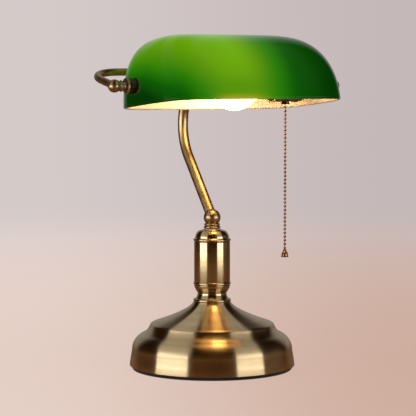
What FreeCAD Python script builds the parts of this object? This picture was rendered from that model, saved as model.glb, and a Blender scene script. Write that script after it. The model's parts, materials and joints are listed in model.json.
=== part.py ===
import FreeCAD, Part
import math
import os

# Banker's desk lamp, in millimetres. X runs along the shade, Y points to the rear,
# Z is up. The origin is the centre of the base's underside, on the desk.

V = FreeCAD.Vector
X_AXIS = V(1, 0, 0)
Y_AXIS = V(0, 1, 0)
Z_AXIS = V(0, 0, 1)

# ---- driving dimensions -------------------------------------------------------------

# Clearances
RUN = 0.05            # radial, a shaft turning in a hole
FIT = 0.10            # radial, a piece slid over another and clamped
FACE = 0.05           # between faces that slide on each other
FREE = 0.40           # radial, between pieces of two moving bodies

# Base: a spun brass shell over a cast weight, on a soft pad
BASE_D = 182.0
SHELL_WALL = 1.2
SKIRT_H = 17.0
SKIRT_TAPER = 2.7
SHOULDER_R = 19.0
SHOULDER_TURN = 66.0
LEDGE_R = 68.0
LEDGE_RISE = 28.2
LEDGE_ROUND = 2.4
CONE_H = 24.8
NECK_SEAT_R = 20.5
PAD_T = 4.0
PAD_INSET = 3.0
WEIGHT_H = 14.0
WEIGHT_GAP = 3.0
NUT_POCKET_R = 17.0
NUT_POCKET_H = 10.5

# Centre rod and what it clamps
ROD_R = 5.0
ROD_BORE_R = 3.2
ROD_NUT_AF = 17.0
ROD_NUT_H = 5.0
ROD_WASHER_R = 14.0
ROD_WASHER_T = 1.6
SPACER_WALL = 3.0
ROD_END_PROUD = 1.5

# Cord gland at the rear of the skirt
GLAND_R = 5.0
GLAND_BORE_R = 3.2
GLAND_FLANGE_R = 7.0
GLAND_FLANGE_T = 1.8
GLAND_INSIDE = 8.0
GLAND_Z = 14.0

# Turned column
COLLAR_H = 9.5
COLLAR_BEAD_R = 20.7
COLLAR_WAIST_R = 15.8
CUP_H = 12.5
COLUMN_R = 19.7
COLUMN_WALL = 1.0
COLUMN_H = 44.0
COLUMN_BEAD = 0.9
SPIGOT_H = 6.0
CAP_H = 13.5
CAP_BEAD_H = 4.2
CAP_TOP_R = 10.5

# Swivel on the column
STUD_R = 4.0
STUD_BORE_R = 2.4
STUD_THREAD_L = 6.0
WASHER_T = 0.8
NECK_R = 9.0
NECK_GROOVE_R = 7.6
NECK_H = 6.0
BALL_R = 9.3
BALL_SEAT = 6.2
SWIVEL_NUT_R = 5.6
SWIVEL_NUT_H = 3.0
STUD_END_PROUD = 0.6

# Bent arm tube
ARM_R = 5.75
ARM_WALL = 1.0
ARM_LEAN = 38.0
ARM_LOWER = 124.0
ARM_BEND_R = 58.0
ARM_UPPER = 72.8
ARM_UPPER_LEAN = 32.7
ARM_SOCKET_AT = 4.6

# Yoke: a bent rod carrying the shade
YOKE_R = 4.0
YOKE_WALL = 1.0
YOKE_REACH = 71.6
YOKE_DROP = 12.0
YOKE_CLEAR = 25.7     # from the shade's end to the middle of the yoke's side rod
YOKE_BEND_R = 44.0
HUB_R = 7.4
HUB_L = 20.0
HUB_NECK_R = 7.4
HUB_NECK_L = 15.0
HUB_GRIP = 6.0
HUB_SCREW_R = 2.0
HUB_SCREW_HEAD_R = 3.4

# Pivot hardware at each end of the shade
END_BALL_R = 6.9
END_NECK_R = 5.0
END_RING_R = 6.0
END_RING_T = 1.6
END_NECK_L = 9.0
NIPPLE_R = 4.0
NIPPLE_BORE_R = 2.2
LOCK_RING_R = 8.6
LOCK_RING_T = 2.8
THUMB_NUT_R = 8.2
THUMB_NUT_T = 7.4
THUMB_NUT_FLUTES = 24
FLUTE_R = 0.55
WASHER_R = 8.4
FIBRE_T = 1.0
BUSH_R = 6.0
BUSH_FLANGE_R = 8.0
BUSH_FLANGE_T = 1.2
INNER_NUT_AF = 14.0
INNER_NUT_T = 4.0

# Glass shade
SHADE_L = 225.0
SHADE_W = 133.0
SHADE_H = 76.0
GLASS_T = 3.6
SHADE_TILT = 5.5
RIDGE_BACK = 16.0
PIVOT_BACK = 11.0
PIVOT_UP = 21.0

# Lampholder and pull switch
HOLDER_R = 17.5
HOLDER_WALL = 0.8
HOLDER_SETBACK = 57.5 # from the shade's end to the holder's mouth
HOLDER_SHELL_L = 33.0
HOLDER_BASE_R = 9.0
SCREW_R = 13.0
SCREW_WALL = 0.5
SCREW_L = 15.0
INSULATOR_GAP = 0.7
CONTACT_R = 4.0
CONTACT_T = 0.6
CHAIN_SETBACK = 19.0  # from the holder's mouth to the chain
GUIDE_R = 3.6
GUIDE_BORE_R = 2.2
GUIDE_MOUTH_R = 5.3
GUIDE_PROUD = 3.0
LEVER_ARM = 10.0
LEVER_T = 2.0
LEVER_W = 5.0
LEVER_PIN_R = 1.0
PULL_TRAVEL = 6.0
LINK_R = 0.7

# Pull chain
BEAD_R = 1.45
BEAD_PITCH = 4.2
BEADS = 38
PIN_R = 0.5
BELL_R = 4.1
BELL_H = 8.5

# Bulb
BULB_R = 26.6
BULB_REACH = 47.0     # from the holder's mouth to the bulb's centre
BULB_WALL = 0.8
BULB_CAP_L = 20.0
BULB_NECK_R = 12.2
BULB_TIP_L = 3.0

# Wiring inside the tubes
LEAD_R = 1.5

# ---- derived levels and places ------------------------------------------------------

BASE_R = BASE_D / 2
SKIRT_TOP = PAD_T + SKIRT_H
LEDGE_Z = SKIRT_TOP + LEDGE_RISE
SHELL_TOP = LEDGE_Z + CONE_H
COLLAR_TOP = SHELL_TOP + COLLAR_H
CUP_TOP = COLLAR_TOP + CUP_H
TUBE_TOP = CUP_TOP + COLUMN_H
CAP_TOP = TUBE_TOP + CAP_H
NECK_Z = CAP_TOP + WASHER_T
NECK_TOP = NECK_Z + NECK_H
BALL_Z = NECK_TOP + BALL_SEAT

YOKE_HALF = SHADE_L / 2 + YOKE_CLEAR
HOLDER_MOUTH_X = SHADE_L / 2 - HOLDER_SETBACK
CHAIN_X = HOLDER_MOUTH_X + CHAIN_SETBACK
BULB_X = HOLDER_MOUTH_X - BULB_REACH

WEIGHT_TOP = PAD_T + WEIGHT_H
POCKET_TOP = PAD_T + NUT_POCKET_H
WASHER_Z = POCKET_TOP - ROD_WASHER_T
ROD_NUT_Z = WASHER_Z - ROD_NUT_H
ROD_BOTTOM = ROD_NUT_Z - ROD_END_PROUD
ROD_TOP = CAP_TOP - STUD_THREAD_L


def rad(degrees):
    return math.radians(degrees)


def in_arm_plane(lean):
    """Unit direction that leans back from the vertical by an angle."""
    return V(0, math.sin(rad(lean)), math.cos(rad(lean)))


ARM_DIR = in_arm_plane(ARM_LEAN)
ARM_END_DIR = in_arm_plane(-ARM_UPPER_LEAN)
BALL_CENTRE = V(0, 0, BALL_Z)
ARM_CORNER = BALL_CENTRE + ARM_DIR * ARM_LOWER
YOKE_CENTRE = ARM_CORNER + ARM_END_DIR * ARM_UPPER
YOKE_DIR = V(0, -math.cos(rad(YOKE_DROP)), -math.sin(rad(YOKE_DROP)))
PIVOT = YOKE_CENTRE + YOKE_DIR * YOKE_REACH


# ---- helpers ------------------------------------------------------------------------

def polygon_face(points):
    return Part.Face(Part.makePolygon(points + [points[0]]))


def revolve(points, centre=V(0, 0, 0), axis=Z_AXIS):
    """Turn a closed list of (radius, height) points about an axis through a centre."""
    face = polygon_face([V(r, 0, z) for r, z in points])
    solid = face.revolve(V(0, 0, 0), Z_AXIS, 360)
    return place(solid, centre, axis)


def place(shape, centre, axis):
    """Move a shape built on the Z axis so that it stands on another axis."""
    moved = shape.copy()
    turn = FreeCAD.Rotation(Z_AXIS, axis)
    moved.Placement = FreeCAD.Placement(centre, turn).multiply(moved.Placement)
    return moved


def cylinder(radius, low, high, centre=V(0, 0, 0), axis=Z_AXIS):
    solid = Part.makeCylinder(radius, high - low, V(0, 0, low))
    return place(solid, centre, axis)


def tube(outer, inner, low, high, centre=V(0, 0, 0), axis=Z_AXIS):
    hollow = Part.makeCylinder(outer, high - low, V(0, 0, low))
    hollow = hollow.cut(Part.makeCylinder(inner, high - low + 2, V(0, 0, low - 1)))
    return place(hollow, centre, axis)


def hexagon(across_flats, low, high, bore, centre=V(0, 0, 0), axis=Z_AXIS):
    corner = across_flats / 2 / math.cos(rad(30))
    ring = [V(corner * math.cos(rad(60 * k)), corner * math.sin(rad(60 * k)), low) for k in range(6)]
    solid = polygon_face(ring).extrude(V(0, 0, high - low))
    solid = solid.cut(Part.makeCylinder(bore, high - low + 2, V(0, 0, low - 1)))
    return place(solid, centre, axis)


def arc_points(centre, radius, start, end, count):
    """Points on an arc in the (radius, height) plane, angles from the radius axis."""
    step = (end - start) / (count - 1)
    angles = [rad(start + step * k) for k in range(count)]
    return [(centre[0] + radius * math.cos(a), centre[1] + radius * math.sin(a)) for a in angles]


def bezier(start, pull, end, count):
    """Points on a curve that leaves the start and meets the end towards one pull point."""
    points = []
    for k in range(count):
        t = k / (count - 1)
        weights = ((1 - t) ** 2, 2 * t * (1 - t), t * t)
        points.append(tuple(sum(w * p[i] for w, p in zip(weights, (start, pull, end))) for i in (0, 1)))
    return points


def bent_wire(points, radii):
    """Straight runs through the points, joined by tangent arcs at the inner corners."""
    edges = []
    start = points[0]
    for before, corner, after, radius in zip(points, points[1:], points[2:], radii):
        inward = (corner - before).normalize()
        outward = (after - corner).normalize()
        turn = inward.getAngle(outward)
        reach = radius * math.tan(turn / 2)
        first = corner - inward * reach
        last = corner + outward * reach
        middle_dir = (outward - inward).normalize()
        centre = corner + middle_dir * (radius / math.cos(turn / 2))
        middle = centre - middle_dir * radius
        edges.append(Part.LineSegment(start, first).toShape())
        edges.append(Part.Arc(first, middle, last).toShape())
        start = last
    edges.append(Part.LineSegment(start, points[-1]).toShape())
    return Part.Wire(edges)


def sweep(wire, start, direction, outer, inner=0.0):
    """A round tube or rod along a wire that starts in the given direction."""
    ring = Part.Wire([Part.Circle(start, direction, outer).toShape()])
    solid = wire.makePipe(Part.Face(ring))
    if inner:
        hole = Part.Wire([Part.Circle(start, direction, inner).toShape()])
        solid = solid.cut(wire.makePipe(Part.Face(hole)))
    return solid


def one_solid(shape):
    """The single solid in a result."""
    return shape.Solids[0] if len(shape.Solids) == 1 else shape


# ---- base ---------------------------------------------------------------------------

def base_curve(inset):
    """Half outline of the base from its foot to the column seat, moved in by a wall."""
    foot = BASE_R - inset
    centre = (BASE_R - SKIRT_TAPER - SHOULDER_R, SKIRT_TOP)
    points = [(foot, PAD_T), (foot - 0.45 * SKIRT_TAPER, PAD_T + 0.5 * SKIRT_H)]
    points += arc_points(centre, SHOULDER_R - inset, 0, SHOULDER_TURN, 12)
    ledge = (LEDGE_R - inset, LEDGE_Z - inset)
    hollow = (LEDGE_R + LEDGE_ROUND - inset, LEDGE_Z - 3.3 * LEDGE_ROUND - inset)
    points += bezier(points[-1], hollow, ledge, 8)[1:]
    cone_r = LEDGE_R - LEDGE_ROUND - inset
    cone_z = LEDGE_Z + LEDGE_ROUND / 2 - inset
    for k in range(13):
        t = k / 12
        r = NECK_SEAT_R + (cone_r - NECK_SEAT_R) * (1 - t) ** 1.55
        points.append((r, cone_z + (SHELL_TOP - inset - cone_z) * t))
    return points


def base_solid(inset):
    outline = base_curve(inset)
    top = outline[-1][1]
    return revolve(outline + [(0, top), (0, PAD_T)])


def gland_axis(low, high, radius):
    return cylinder(radius, low, high, V(0, 0, GLAND_Z), Y_AXIS)


def make_base_shell():
    shell = base_solid(0).cut(base_solid(SHELL_WALL))
    shell = shell.cut(cylinder(ROD_R + FIT, SHELL_TOP - 10, SHELL_TOP + 1))
    return shell.cut(gland_axis(0, BASE_R + 10, GLAND_R))


def make_base_weight():
    radius = BASE_R - SHELL_WALL - SKIRT_TAPER - WEIGHT_GAP
    rim = radius - 6.0
    points = [(0, PAD_T), (radius, PAD_T), (radius, WEIGHT_TOP - 6), (rim, WEIGHT_TOP), (0, WEIGHT_TOP)]
    weight = revolve(points)
    weight = weight.cut(cylinder(NUT_POCKET_R, PAD_T - 1, POCKET_TOP))
    weight = weight.cut(cylinder(ROD_R + FIT, PAD_T - 1, WEIGHT_TOP + 1))
    channel = Part.makeBox(4 * GLAND_R, radius, 2 * GLAND_R + 4)
    channel.translate(V(-2 * GLAND_R, radius - 24, GLAND_Z - GLAND_R - 2))
    return weight.cut(channel)


def make_base_pad():
    return cylinder(BASE_R - PAD_INSET, 0, PAD_T)


def make_base_spacer():
    return tube(ROD_R + FIT + SPACER_WALL, ROD_R + FIT, WEIGHT_TOP, SHELL_TOP - SHELL_WALL)


def make_cord_gland():
    face_y = math.sqrt(BASE_R ** 2 - GLAND_FLANGE_R ** 2) - 4
    outside = BASE_R - 0.6 + GLAND_FLANGE_T
    flange = gland_axis(face_y, outside, GLAND_FLANGE_R).cut(base_solid(0))
    body = gland_axis(BASE_R - SHELL_WALL - GLAND_INSIDE, outside, GLAND_R)
    gland = body.fuse(flange).cut(gland_axis(0, BASE_R + 10, GLAND_BORE_R))
    return one_solid(gland.removeSplitter())


def make_base_washer():
    return tube(ROD_WASHER_R, ROD_R + FIT, WASHER_Z, POCKET_TOP)


def make_base_nut():
    return hexagon(ROD_NUT_AF, ROD_NUT_Z, WASHER_Z, ROD_R)


# ---- column -------------------------------------------------------------------------

def make_centre_rod():
    return tube(ROD_R, ROD_BORE_R, ROD_BOTTOM, ROD_TOP)


def make_base_collar():
    bead = arc_points((COLLAR_BEAD_R - 1.6, SHELL_TOP + 1.6), 1.6, -90, 90, 9)
    waist = []
    for k in range(1, 9):
        t = k / 8
        r = COLLAR_WAIST_R + (COLLAR_BEAD_R - 2.2 - COLLAR_WAIST_R) * (1 - t) ** 2
        waist.append((r, SHELL_TOP + 3.2 + (COLLAR_H - 3.2) * t))
    points = [(ROD_R + FIT, SHELL_TOP)] + bead + waist + [(ROD_R + FIT, COLLAR_TOP)]
    return revolve(points)


def make_column_cup():
    flare = []
    for k in range(9):
        t = k / 8
        r = COLLAR_WAIST_R + (COLUMN_R - COLLAR_WAIST_R) * math.sin(rad(90 * t))
        flare.append((r, COLLAR_TOP + (CUP_H - 3.6) * t))
    bead = arc_points((COLUMN_R - 0.9, CUP_TOP - 1.8), 1.8, -60, 60, 9)
    spigot_r = COLUMN_R - COLUMN_WALL - FIT
    bead = [(r, z) for r, z in bead if COLUMN_R - 0.4 < r]
    top = [(COLUMN_R, CUP_TOP), (spigot_r, CUP_TOP), (spigot_r, CUP_TOP + SPIGOT_H)]
    inner = [(spigot_r - 3, CUP_TOP + SPIGOT_H), (spigot_r - 3, CUP_TOP - 2), (ROD_R + FIT, CUP_TOP - 2)]
    return revolve([(ROD_R + FIT, COLLAR_TOP)] + flare + bead + top + inner)


def make_column_tube():
    return tube(COLUMN_R, COLUMN_R - COLUMN_WALL, CUP_TOP, TUBE_TOP)


def make_column_cap():
    bead_r = COLUMN_R + COLUMN_BEAD
    mid = TUBE_TOP + CAP_BEAD_H / 2
    bead = [(COLUMN_R - 0.3, TUBE_TOP)]
    bead += arc_points((bead_r - 1.7, mid), 1.7, -75, 75, 9)
    bead += [(COLUMN_R - 1.2, TUBE_TOP + CAP_BEAD_H)]
    dome = []
    for k in range(1, 11):
        t = k / 10
        r = CAP_TOP_R + (COLUMN_R - 1.2 - CAP_TOP_R) * math.cos(rad(90 * t)) ** 0.8
        dome.append((r, TUBE_TOP + CAP_BEAD_H + (CAP_H - CAP_BEAD_H - 0.8) * math.sin(rad(90 * t))))
    lip = [(CAP_TOP_R - 0.5, CAP_TOP), (0, CAP_TOP)]
    spigot_r = COLUMN_R - COLUMN_WALL - FIT
    under = [(0, TUBE_TOP), (spigot_r - 3, TUBE_TOP), (spigot_r - 3, TUBE_TOP - SPIGOT_H)]
    under += [(spigot_r, TUBE_TOP - SPIGOT_H), (spigot_r, TUBE_TOP)]
    cap = revolve(bead + dome + lip + under)
    cap = cap.cut(cylinder(ROD_R, TUBE_TOP - 1, ROD_TOP))
    return cap.cut(cylinder(STUD_R, TUBE_TOP, CAP_TOP + 1))


# ---- swivel and arm -----------------------------------------------------------------

def make_swivel_stud():
    top = NECK_TOP + FACE + SWIVEL_NUT_H + STUD_END_PROUD
    return tube(STUD_R, STUD_BORE_R, ROD_TOP, top)


def make_swivel_washer():
    return tube(NECK_R - 0.4, STUD_R + FIT, CAP_TOP, CAP_TOP + WASHER_T - FACE)


def make_swivel_nut():
    low = NECK_TOP + FACE
    return tube(SWIVEL_NUT_R, STUD_R, low, low + SWIVEL_NUT_H)


def make_swivel_neck():
    ring = NECK_H / 4
    low_ring = arc_points((NECK_R - ring * 0.6, NECK_Z + ring), ring * 0.8, -80, 80, 7)
    high_ring = arc_points((NECK_R - ring * 0.8, NECK_TOP - ring), ring * 0.7, -80, 80, 7)
    groove = [(NECK_GROOVE_R, NECK_Z + 2 * ring)]
    bore = STUD_R + RUN
    points = [(bore, NECK_Z), (NECK_R - 1.0, NECK_Z)] + low_ring + groove + high_ring
    return revolve(points + [(NECK_R - 1.7, NECK_TOP), (bore, NECK_TOP)])


def make_swivel_ball():
    ball = Part.makeSphere(BALL_R, BALL_CENTRE)
    below = Part.makeBox(4 * BALL_R, 4 * BALL_R, 2 * BALL_R, V(-2 * BALL_R, -2 * BALL_R, NECK_TOP - 2 * BALL_R))
    ball = ball.cut(below)
    cavity_top = NECK_TOP + FACE + SWIVEL_NUT_H + STUD_END_PROUD + FREE
    ball = ball.cut(cylinder(SWIVEL_NUT_R + FREE, NECK_TOP - 1, cavity_top))
    ball = ball.cut(cylinder(ARM_R, ARM_SOCKET_AT, 3 * BALL_R, BALL_CENTRE, ARM_DIR))
    return ball.cut(cylinder(STUD_BORE_R + 1, -1, 3 * BALL_R, BALL_CENTRE, ARM_DIR))


def arm_wire(start_at, stop_short):
    start = BALL_CENTRE + ARM_DIR * start_at
    end = YOKE_CENTRE - ARM_END_DIR * stop_short
    return bent_wire([start, ARM_CORNER, end], [ARM_BEND_R]), start


def make_arm_tube():
    wire, start = arm_wire(ARM_SOCKET_AT, YOKE_R + 1)
    return sweep(wire, start, ARM_DIR, ARM_R, ARM_R - ARM_WALL)


def make_arm_lead():
    wire, start = arm_wire(ARM_SOCKET_AT + 1, YOKE_R + 2)
    return sweep(wire, start, ARM_DIR, LEAD_R)


def make_column_lead():
    top = NECK_TOP + SWIVEL_NUT_H
    return cylinder(LEAD_R, ROD_BOTTOM, top)


# ---- yoke ---------------------------------------------------------------------------

def yoke_point(x, out):
    """A point in the yoke's plane: out is the distance from the rear bar."""
    return YOKE_CENTRE + X_AXIS * x + YOKE_DIR * out


def yoke_end():
    return YOKE_REACH - END_BALL_R + 2.4


def make_yoke_rod():
    half = YOKE_HALF
    points = [yoke_point(-half, yoke_end()), yoke_point(-half, 0), yoke_point(half, 0), yoke_point(half, yoke_end())]
    wire = bent_wire(points, [YOKE_BEND_R, YOKE_BEND_R])
    return sweep(wire, points[0], YOKE_DIR * -1, YOKE_R, YOKE_R - YOKE_WALL)


def make_yoke_lead():
    points = [yoke_point(HUB_L / 2, 0), yoke_point(YOKE_HALF, 0), yoke_point(YOKE_HALF, yoke_end() - 1)]
    wire = bent_wire(points, [YOKE_BEND_R])
    return sweep(wire, points[0], X_AXIS, LEAD_R)


def make_yoke_hub():
    sleeve = cylinder(HUB_R, -HUB_L / 2, HUB_L / 2, YOKE_CENTRE, X_AXIS)
    sleeve = sleeve.makeChamfer(1.0, [e for e in sleeve.Edges if e.Curve.TypeId == "Part::GeomCircle"])
    neck = cylinder(HUB_NECK_R, 0, HUB_NECK_L, YOKE_CENTRE, ARM_END_DIR * -1)
    hub = sleeve.fuse(neck)
    hub = hub.cut(cylinder(YOKE_R, -HUB_L, HUB_L, YOKE_CENTRE, X_AXIS))
    hub = hub.cut(cylinder(ARM_R, YOKE_R + 1, HUB_NECK_L + 1, YOKE_CENTRE, ARM_END_DIR * -1))
    hub = hub.cut(cylinder(LEAD_R + 1, 0, HUB_NECK_L, YOKE_CENTRE, ARM_END_DIR * -1))
    hub = hub.cut(cylinder(HUB_SCREW_R, 0, HUB_R + 1, YOKE_CENTRE, ARM_END_DIR))
    return one_solid(hub.removeSplitter())


def make_hub_screw():
    shank = cylinder(HUB_SCREW_R, YOKE_R, HUB_R, YOKE_CENTRE, ARM_END_DIR)
    head = cylinder(HUB_SCREW_HEAD_R, HUB_R, HUB_R + 2.2, YOKE_CENTRE, ARM_END_DIR)
    slot = Part.makeBox(0.9, 10, 2, V(-0.45, -5, HUB_R + 1.3))
    screw = shank.fuse(head).cut(place(slot, YOKE_CENTRE, ARM_END_DIR))
    return one_solid(screw.removeSplitter())


# ---- shade --------------------------------------------------------------------------

# How each face of the shade curves in towards the top: (roundness, flare)
END_CURVE = (6.2, 2.5)
FRONT_CURVE = (2.2, 2.0)
REAR_CURVE = (3.2, 2.3)
RIM_SQUARENESS = (9.3, 2.8)
TOP_SQUARENESS = (5.0, 3.2)


def closing(level, curve):
    """Share of a half width that is left at a share of the height."""
    roundness, flare = curve
    return (1 - level ** flare) ** (1 / roundness)


def shade_half_sizes(level, inset):
    """Half length, front half width and rear half width at a share of the height."""
    half = (SHADE_L / 2 - inset) * closing(level, END_CURVE)
    front = (SHADE_W / 2 + RIDGE_BACK - inset) * closing(level, FRONT_CURVE)
    rear = (SHADE_W / 2 - RIDGE_BACK - inset) * closing(level, REAR_CURVE)
    return half, front, rear


def quadrant(a, b, nx, ny, count):
    """Evenly spaced points on a squared-off quarter ellipse, from (a, 0) to (0, b)."""
    fine = 400
    dense = []
    for k in range(fine + 1):
        t = rad(90 * k / fine)
        dense.append((a * max(math.cos(t), 0) ** (2 / nx), b * math.sin(t) ** (2 / ny)))
    run = [0.0]
    for p, q in zip(dense, dense[1:]):
        run.append(run[-1] + math.hypot(q[0] - p[0], q[1] - p[1]))
    points = []
    k = 0
    for i in range(count):
        target = run[-1] * i / count
        while run[k + 1] < target:
            k += 1
        share = (target - run[k]) / (run[k + 1] - run[k])
        p, q = dense[k], dense[k + 1]
        points.append((p[0] + (q[0] - p[0]) * share, p[1] + (q[1] - p[1]) * share))
    return points


def shade_section(level, inset, height):
    """Closed outline of the shade at a share of its height, in the shade's own frame."""
    share = max(level, 0.0)
    half, front, rear = shade_half_sizes(share, inset)
    nx = RIM_SQUARENESS[0] + (TOP_SQUARENESS[0] - RIM_SQUARENESS[0]) * share
    ny = RIM_SQUARENESS[1] + (TOP_SQUARENESS[1] - RIM_SQUARENESS[1]) * share
    count = 14
    back = quadrant(half, rear, nx, ny, count)
    fore = quadrant(half, front, nx, ny, count)
    points = back + [(0, rear)] + [(-x, y) for x, y in back[:0:-1]]
    points += [(-x, -y) for x, y in fore] + [(0, -front)] + [(x, -y) for x, y in fore[:0:-1]]
    curve = Part.BSplineCurve()
    curve.interpolate([V(x, RIDGE_BACK + y, height * level) for x, y in points], PeriodicFlag=True)
    return Part.Wire([curve.toShape()])


def shade_block(inset, height, first):
    levels = [first] + [math.sin(rad(84.3 * k / 11)) for k in range(1, 12)]
    return Part.makeLoft([shade_section(s, inset, height) for s in levels], True, False)


def to_pivot(shape):
    """From the shade's own frame, its rim centre at the origin, to where it hangs."""
    moved = shape.copy()
    moved.translate(V(0, -PIVOT_BACK, -PIVOT_UP))
    moved.rotate(V(0, 0, 0), X_AXIS, -SHADE_TILT)
    moved.translate(PIVOT)
    return moved


def make_shade_glass():
    glass = shade_block(0, SHADE_H, 0.0)
    glass = glass.cut(shade_block(GLASS_T, SHADE_H - GLASS_T, -0.02))
    hole = cylinder(BUSH_R, -SHADE_L, SHADE_L, V(0, PIVOT_BACK, PIVOT_UP), X_AXIS)
    return one_solid(to_pivot(glass.cut(hole)))


# Distances of the pivot pieces from the lamp's middle, outwards through the glass
SEAT_LOW = (PIVOT_UP - BUSH_FLANGE_R) / SHADE_H
SEAT_HIGH = (PIVOT_UP + WASHER_R) / (SHADE_H - GLASS_T)
WALL_X = SHADE_L / 2 * closing(SEAT_LOW, END_CURVE) + FACE
WALL_IN_X = (SHADE_L / 2 - GLASS_T) * closing(SEAT_HIGH, END_CURVE) - FACE
BUSH_OUT_X = WALL_X + BUSH_FLANGE_T
NUT_X = BUSH_OUT_X + FIBRE_T + FACE
RING_X = NUT_X + THUMB_NUT_T + 0.6
BALL_NECK_X = YOKE_HALF - END_NECK_L
STACK_IN_X = WALL_IN_X - FIBRE_T - FACE
NIPPLE_OUT_X = YOKE_HALF - 2.2


def make_shade_bush(side):
    """Flanged sleeve in the glass, turning on the nipple."""
    bore = NIPPLE_R + RUN
    sleeve = tube(BUSH_R, bore, WALL_IN_X, BUSH_OUT_X, PIVOT, X_AXIS * side)
    flange = tube(BUSH_FLANGE_R, bore, WALL_X, BUSH_OUT_X, PIVOT, X_AXIS * side)
    return one_solid(sleeve.fuse(flange).removeSplitter())


def make_outer_washer(side):
    return tube(WASHER_R, NIPPLE_R + FREE, BUSH_OUT_X, NUT_X - FACE, PIVOT, X_AXIS * side)


def make_inner_washer(side):
    return tube(WASHER_R, NIPPLE_R + FREE, STACK_IN_X + FACE, WALL_IN_X, PIVOT, X_AXIS * side)


def make_thumb_nut(side):
    axis = X_AXIS * side
    edge = 0.8
    outer = THUMB_NUT_R
    far = NUT_X + THUMB_NUT_T
    bore = NIPPLE_R + RUN
    points = [(bore, NUT_X), (outer - edge, NUT_X), (outer, NUT_X + edge), (outer, far - edge)]
    nut = revolve(points + [(outer - edge, far), (bore, far)])
    for k in range(THUMB_NUT_FLUTES):
        angle = rad(360 * k / THUMB_NUT_FLUTES)
        spot = V(outer * math.cos(angle), outer * math.sin(angle), 0)
        nut = nut.cut(Part.makeCylinder(FLUTE_R, far + 10, spot))
    return place(nut, PIVOT, axis)


def make_lock_ring(side):
    far = RING_X + LOCK_RING_T
    mid = (RING_X + far) / 2
    crown = arc_points((LOCK_RING_R - LOCK_RING_T / 2, mid), LOCK_RING_T / 2, -90, 90, 9)
    points = [(NIPPLE_R, RING_X)] + crown + [(NIPPLE_R, far)]
    return revolve(points, PIVOT, X_AXIS * side)


def make_end_ball(side):
    axis = X_AXIS * side
    ring_mid = BALL_NECK_X + END_RING_T
    neck = cylinder(END_NECK_R, BALL_NECK_X, YOKE_HALF, PIVOT, axis)
    crown = arc_points((END_RING_R - END_RING_T / 2, ring_mid), END_RING_T / 2, -90, 90, 7)
    ring = revolve([(1, ring_mid - END_RING_T / 2)] + crown + [(1, ring_mid + END_RING_T / 2)], PIVOT, axis)
    ball = Part.makeSphere(END_BALL_R, PIVOT + axis * YOKE_HALF)
    ball = ball.fuse(neck).fuse(ring)
    ball = ball.cut(cylinder(NIPPLE_R, BALL_NECK_X - 1, NIPPLE_OUT_X, PIVOT, axis))
    rod_way = PIVOT + axis * YOKE_HALF - YOKE_DIR * (YOKE_REACH - yoke_end())
    ball = ball.cut(cylinder(YOKE_R, 0, 20, rod_way, YOKE_DIR * -1))
    return one_solid(ball.removeSplitter())


def nipple(side, inner_end):
    pipe = tube(NIPPLE_R, NIPPLE_BORE_R, inner_end, NIPPLE_OUT_X, PIVOT, X_AXIS * side)
    rod_way = PIVOT + X_AXIS * (side * YOKE_HALF) - YOKE_DIR * (YOKE_REACH - yoke_end())
    return one_solid(pipe.cut(cylinder(YOKE_R, 0, 20, rod_way, YOKE_DIR * -1)))


def make_inner_nut():
    return hexagon(INNER_NUT_AF, STACK_IN_X - INNER_NUT_T, STACK_IN_X, NIPPLE_R, PIVOT, X_AXIS * -1)


# ---- lampholder ---------------------------------------------------------------------

SHELL_END_X = HOLDER_MOUTH_X + HOLDER_SHELL_L
SCREW_END_X = HOLDER_MOUTH_X + 1 + SCREW_L
INSULATOR_X = SCREW_END_X + INSULATOR_GAP
CHAIN_TOP = V(CHAIN_X, 0, 0) + PIVOT
GUIDE_BOTTOM = -HOLDER_R - GUIDE_PROUD + 0.4
GUIDE_TOP = -HOLDER_R + 2.2
LINK_BEAD = GUIDE_BOTTOM + 0.9
LEVER_Z = GUIDE_TOP + PULL_TRAVEL + 2.0
LEVER_PIN = CHAIN_TOP + V(LEVER_ARM, 0, LEVER_Z)
LEVER_EYE_R = LEVER_PIN_R + 1.2
HEAD_Z = LEVER_Z + LEVER_T / 2 + FACE + BEAD_R
CAVITY_HALF = 4.5


def holder_shape(points):
    """A turned piece on the pivot axis, given as (radius, distance along +X)."""
    return revolve(points, PIVOT, X_AXIS)


def make_holder_shell():
    r, t = HOLDER_R, HOLDER_WALL
    x0, x1 = HOLDER_MOUTH_X, SHELL_END_X
    bead = arc_points((r - 0.2, x0 + 1.4), 1.2, 90, -90, 9)
    points = [(r - t, x0), (r, x0)] + [(a, b) for a, b in bead[::-1] if a > r] + [(r, x1), (r - t, x1)]
    shell = holder_shape(points)
    way = cylinder(GUIDE_R, GUIDE_BOTTOM - 5, GUIDE_TOP + 4, CHAIN_TOP, Z_AXIS)
    return one_solid(shell.cut(way))


def make_holder_cap():
    r, t = HOLDER_R, HOLDER_WALL
    x0, x1 = SHELL_END_X, STACK_IN_X
    neck_x = x1 - 4.0
    outer = [(r + 0.5, x0 - 3.0), (r + 0.5, x0)]
    inner = [(r + FACE, x0 - 3.0), (r + FACE, x0)]
    for k in range(9):
        t_share = k / 8
        bulge = math.cos(rad(90 * t_share)) ** 0.75
        outer.append((HOLDER_BASE_R + (r - HOLDER_BASE_R) * bulge, x0 + 0.4 + (neck_x - x0 - 0.4) * t_share))
        inner.append((HOLDER_BASE_R - t + (r - HOLDER_BASE_R) * bulge, x0 + (neck_x - t - x0) * t_share))
    end = [(HOLDER_BASE_R, x1), (NIPPLE_R, x1), (NIPPLE_R, neck_x - t)]
    return holder_shape(outer + end + inner[::-1])


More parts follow.
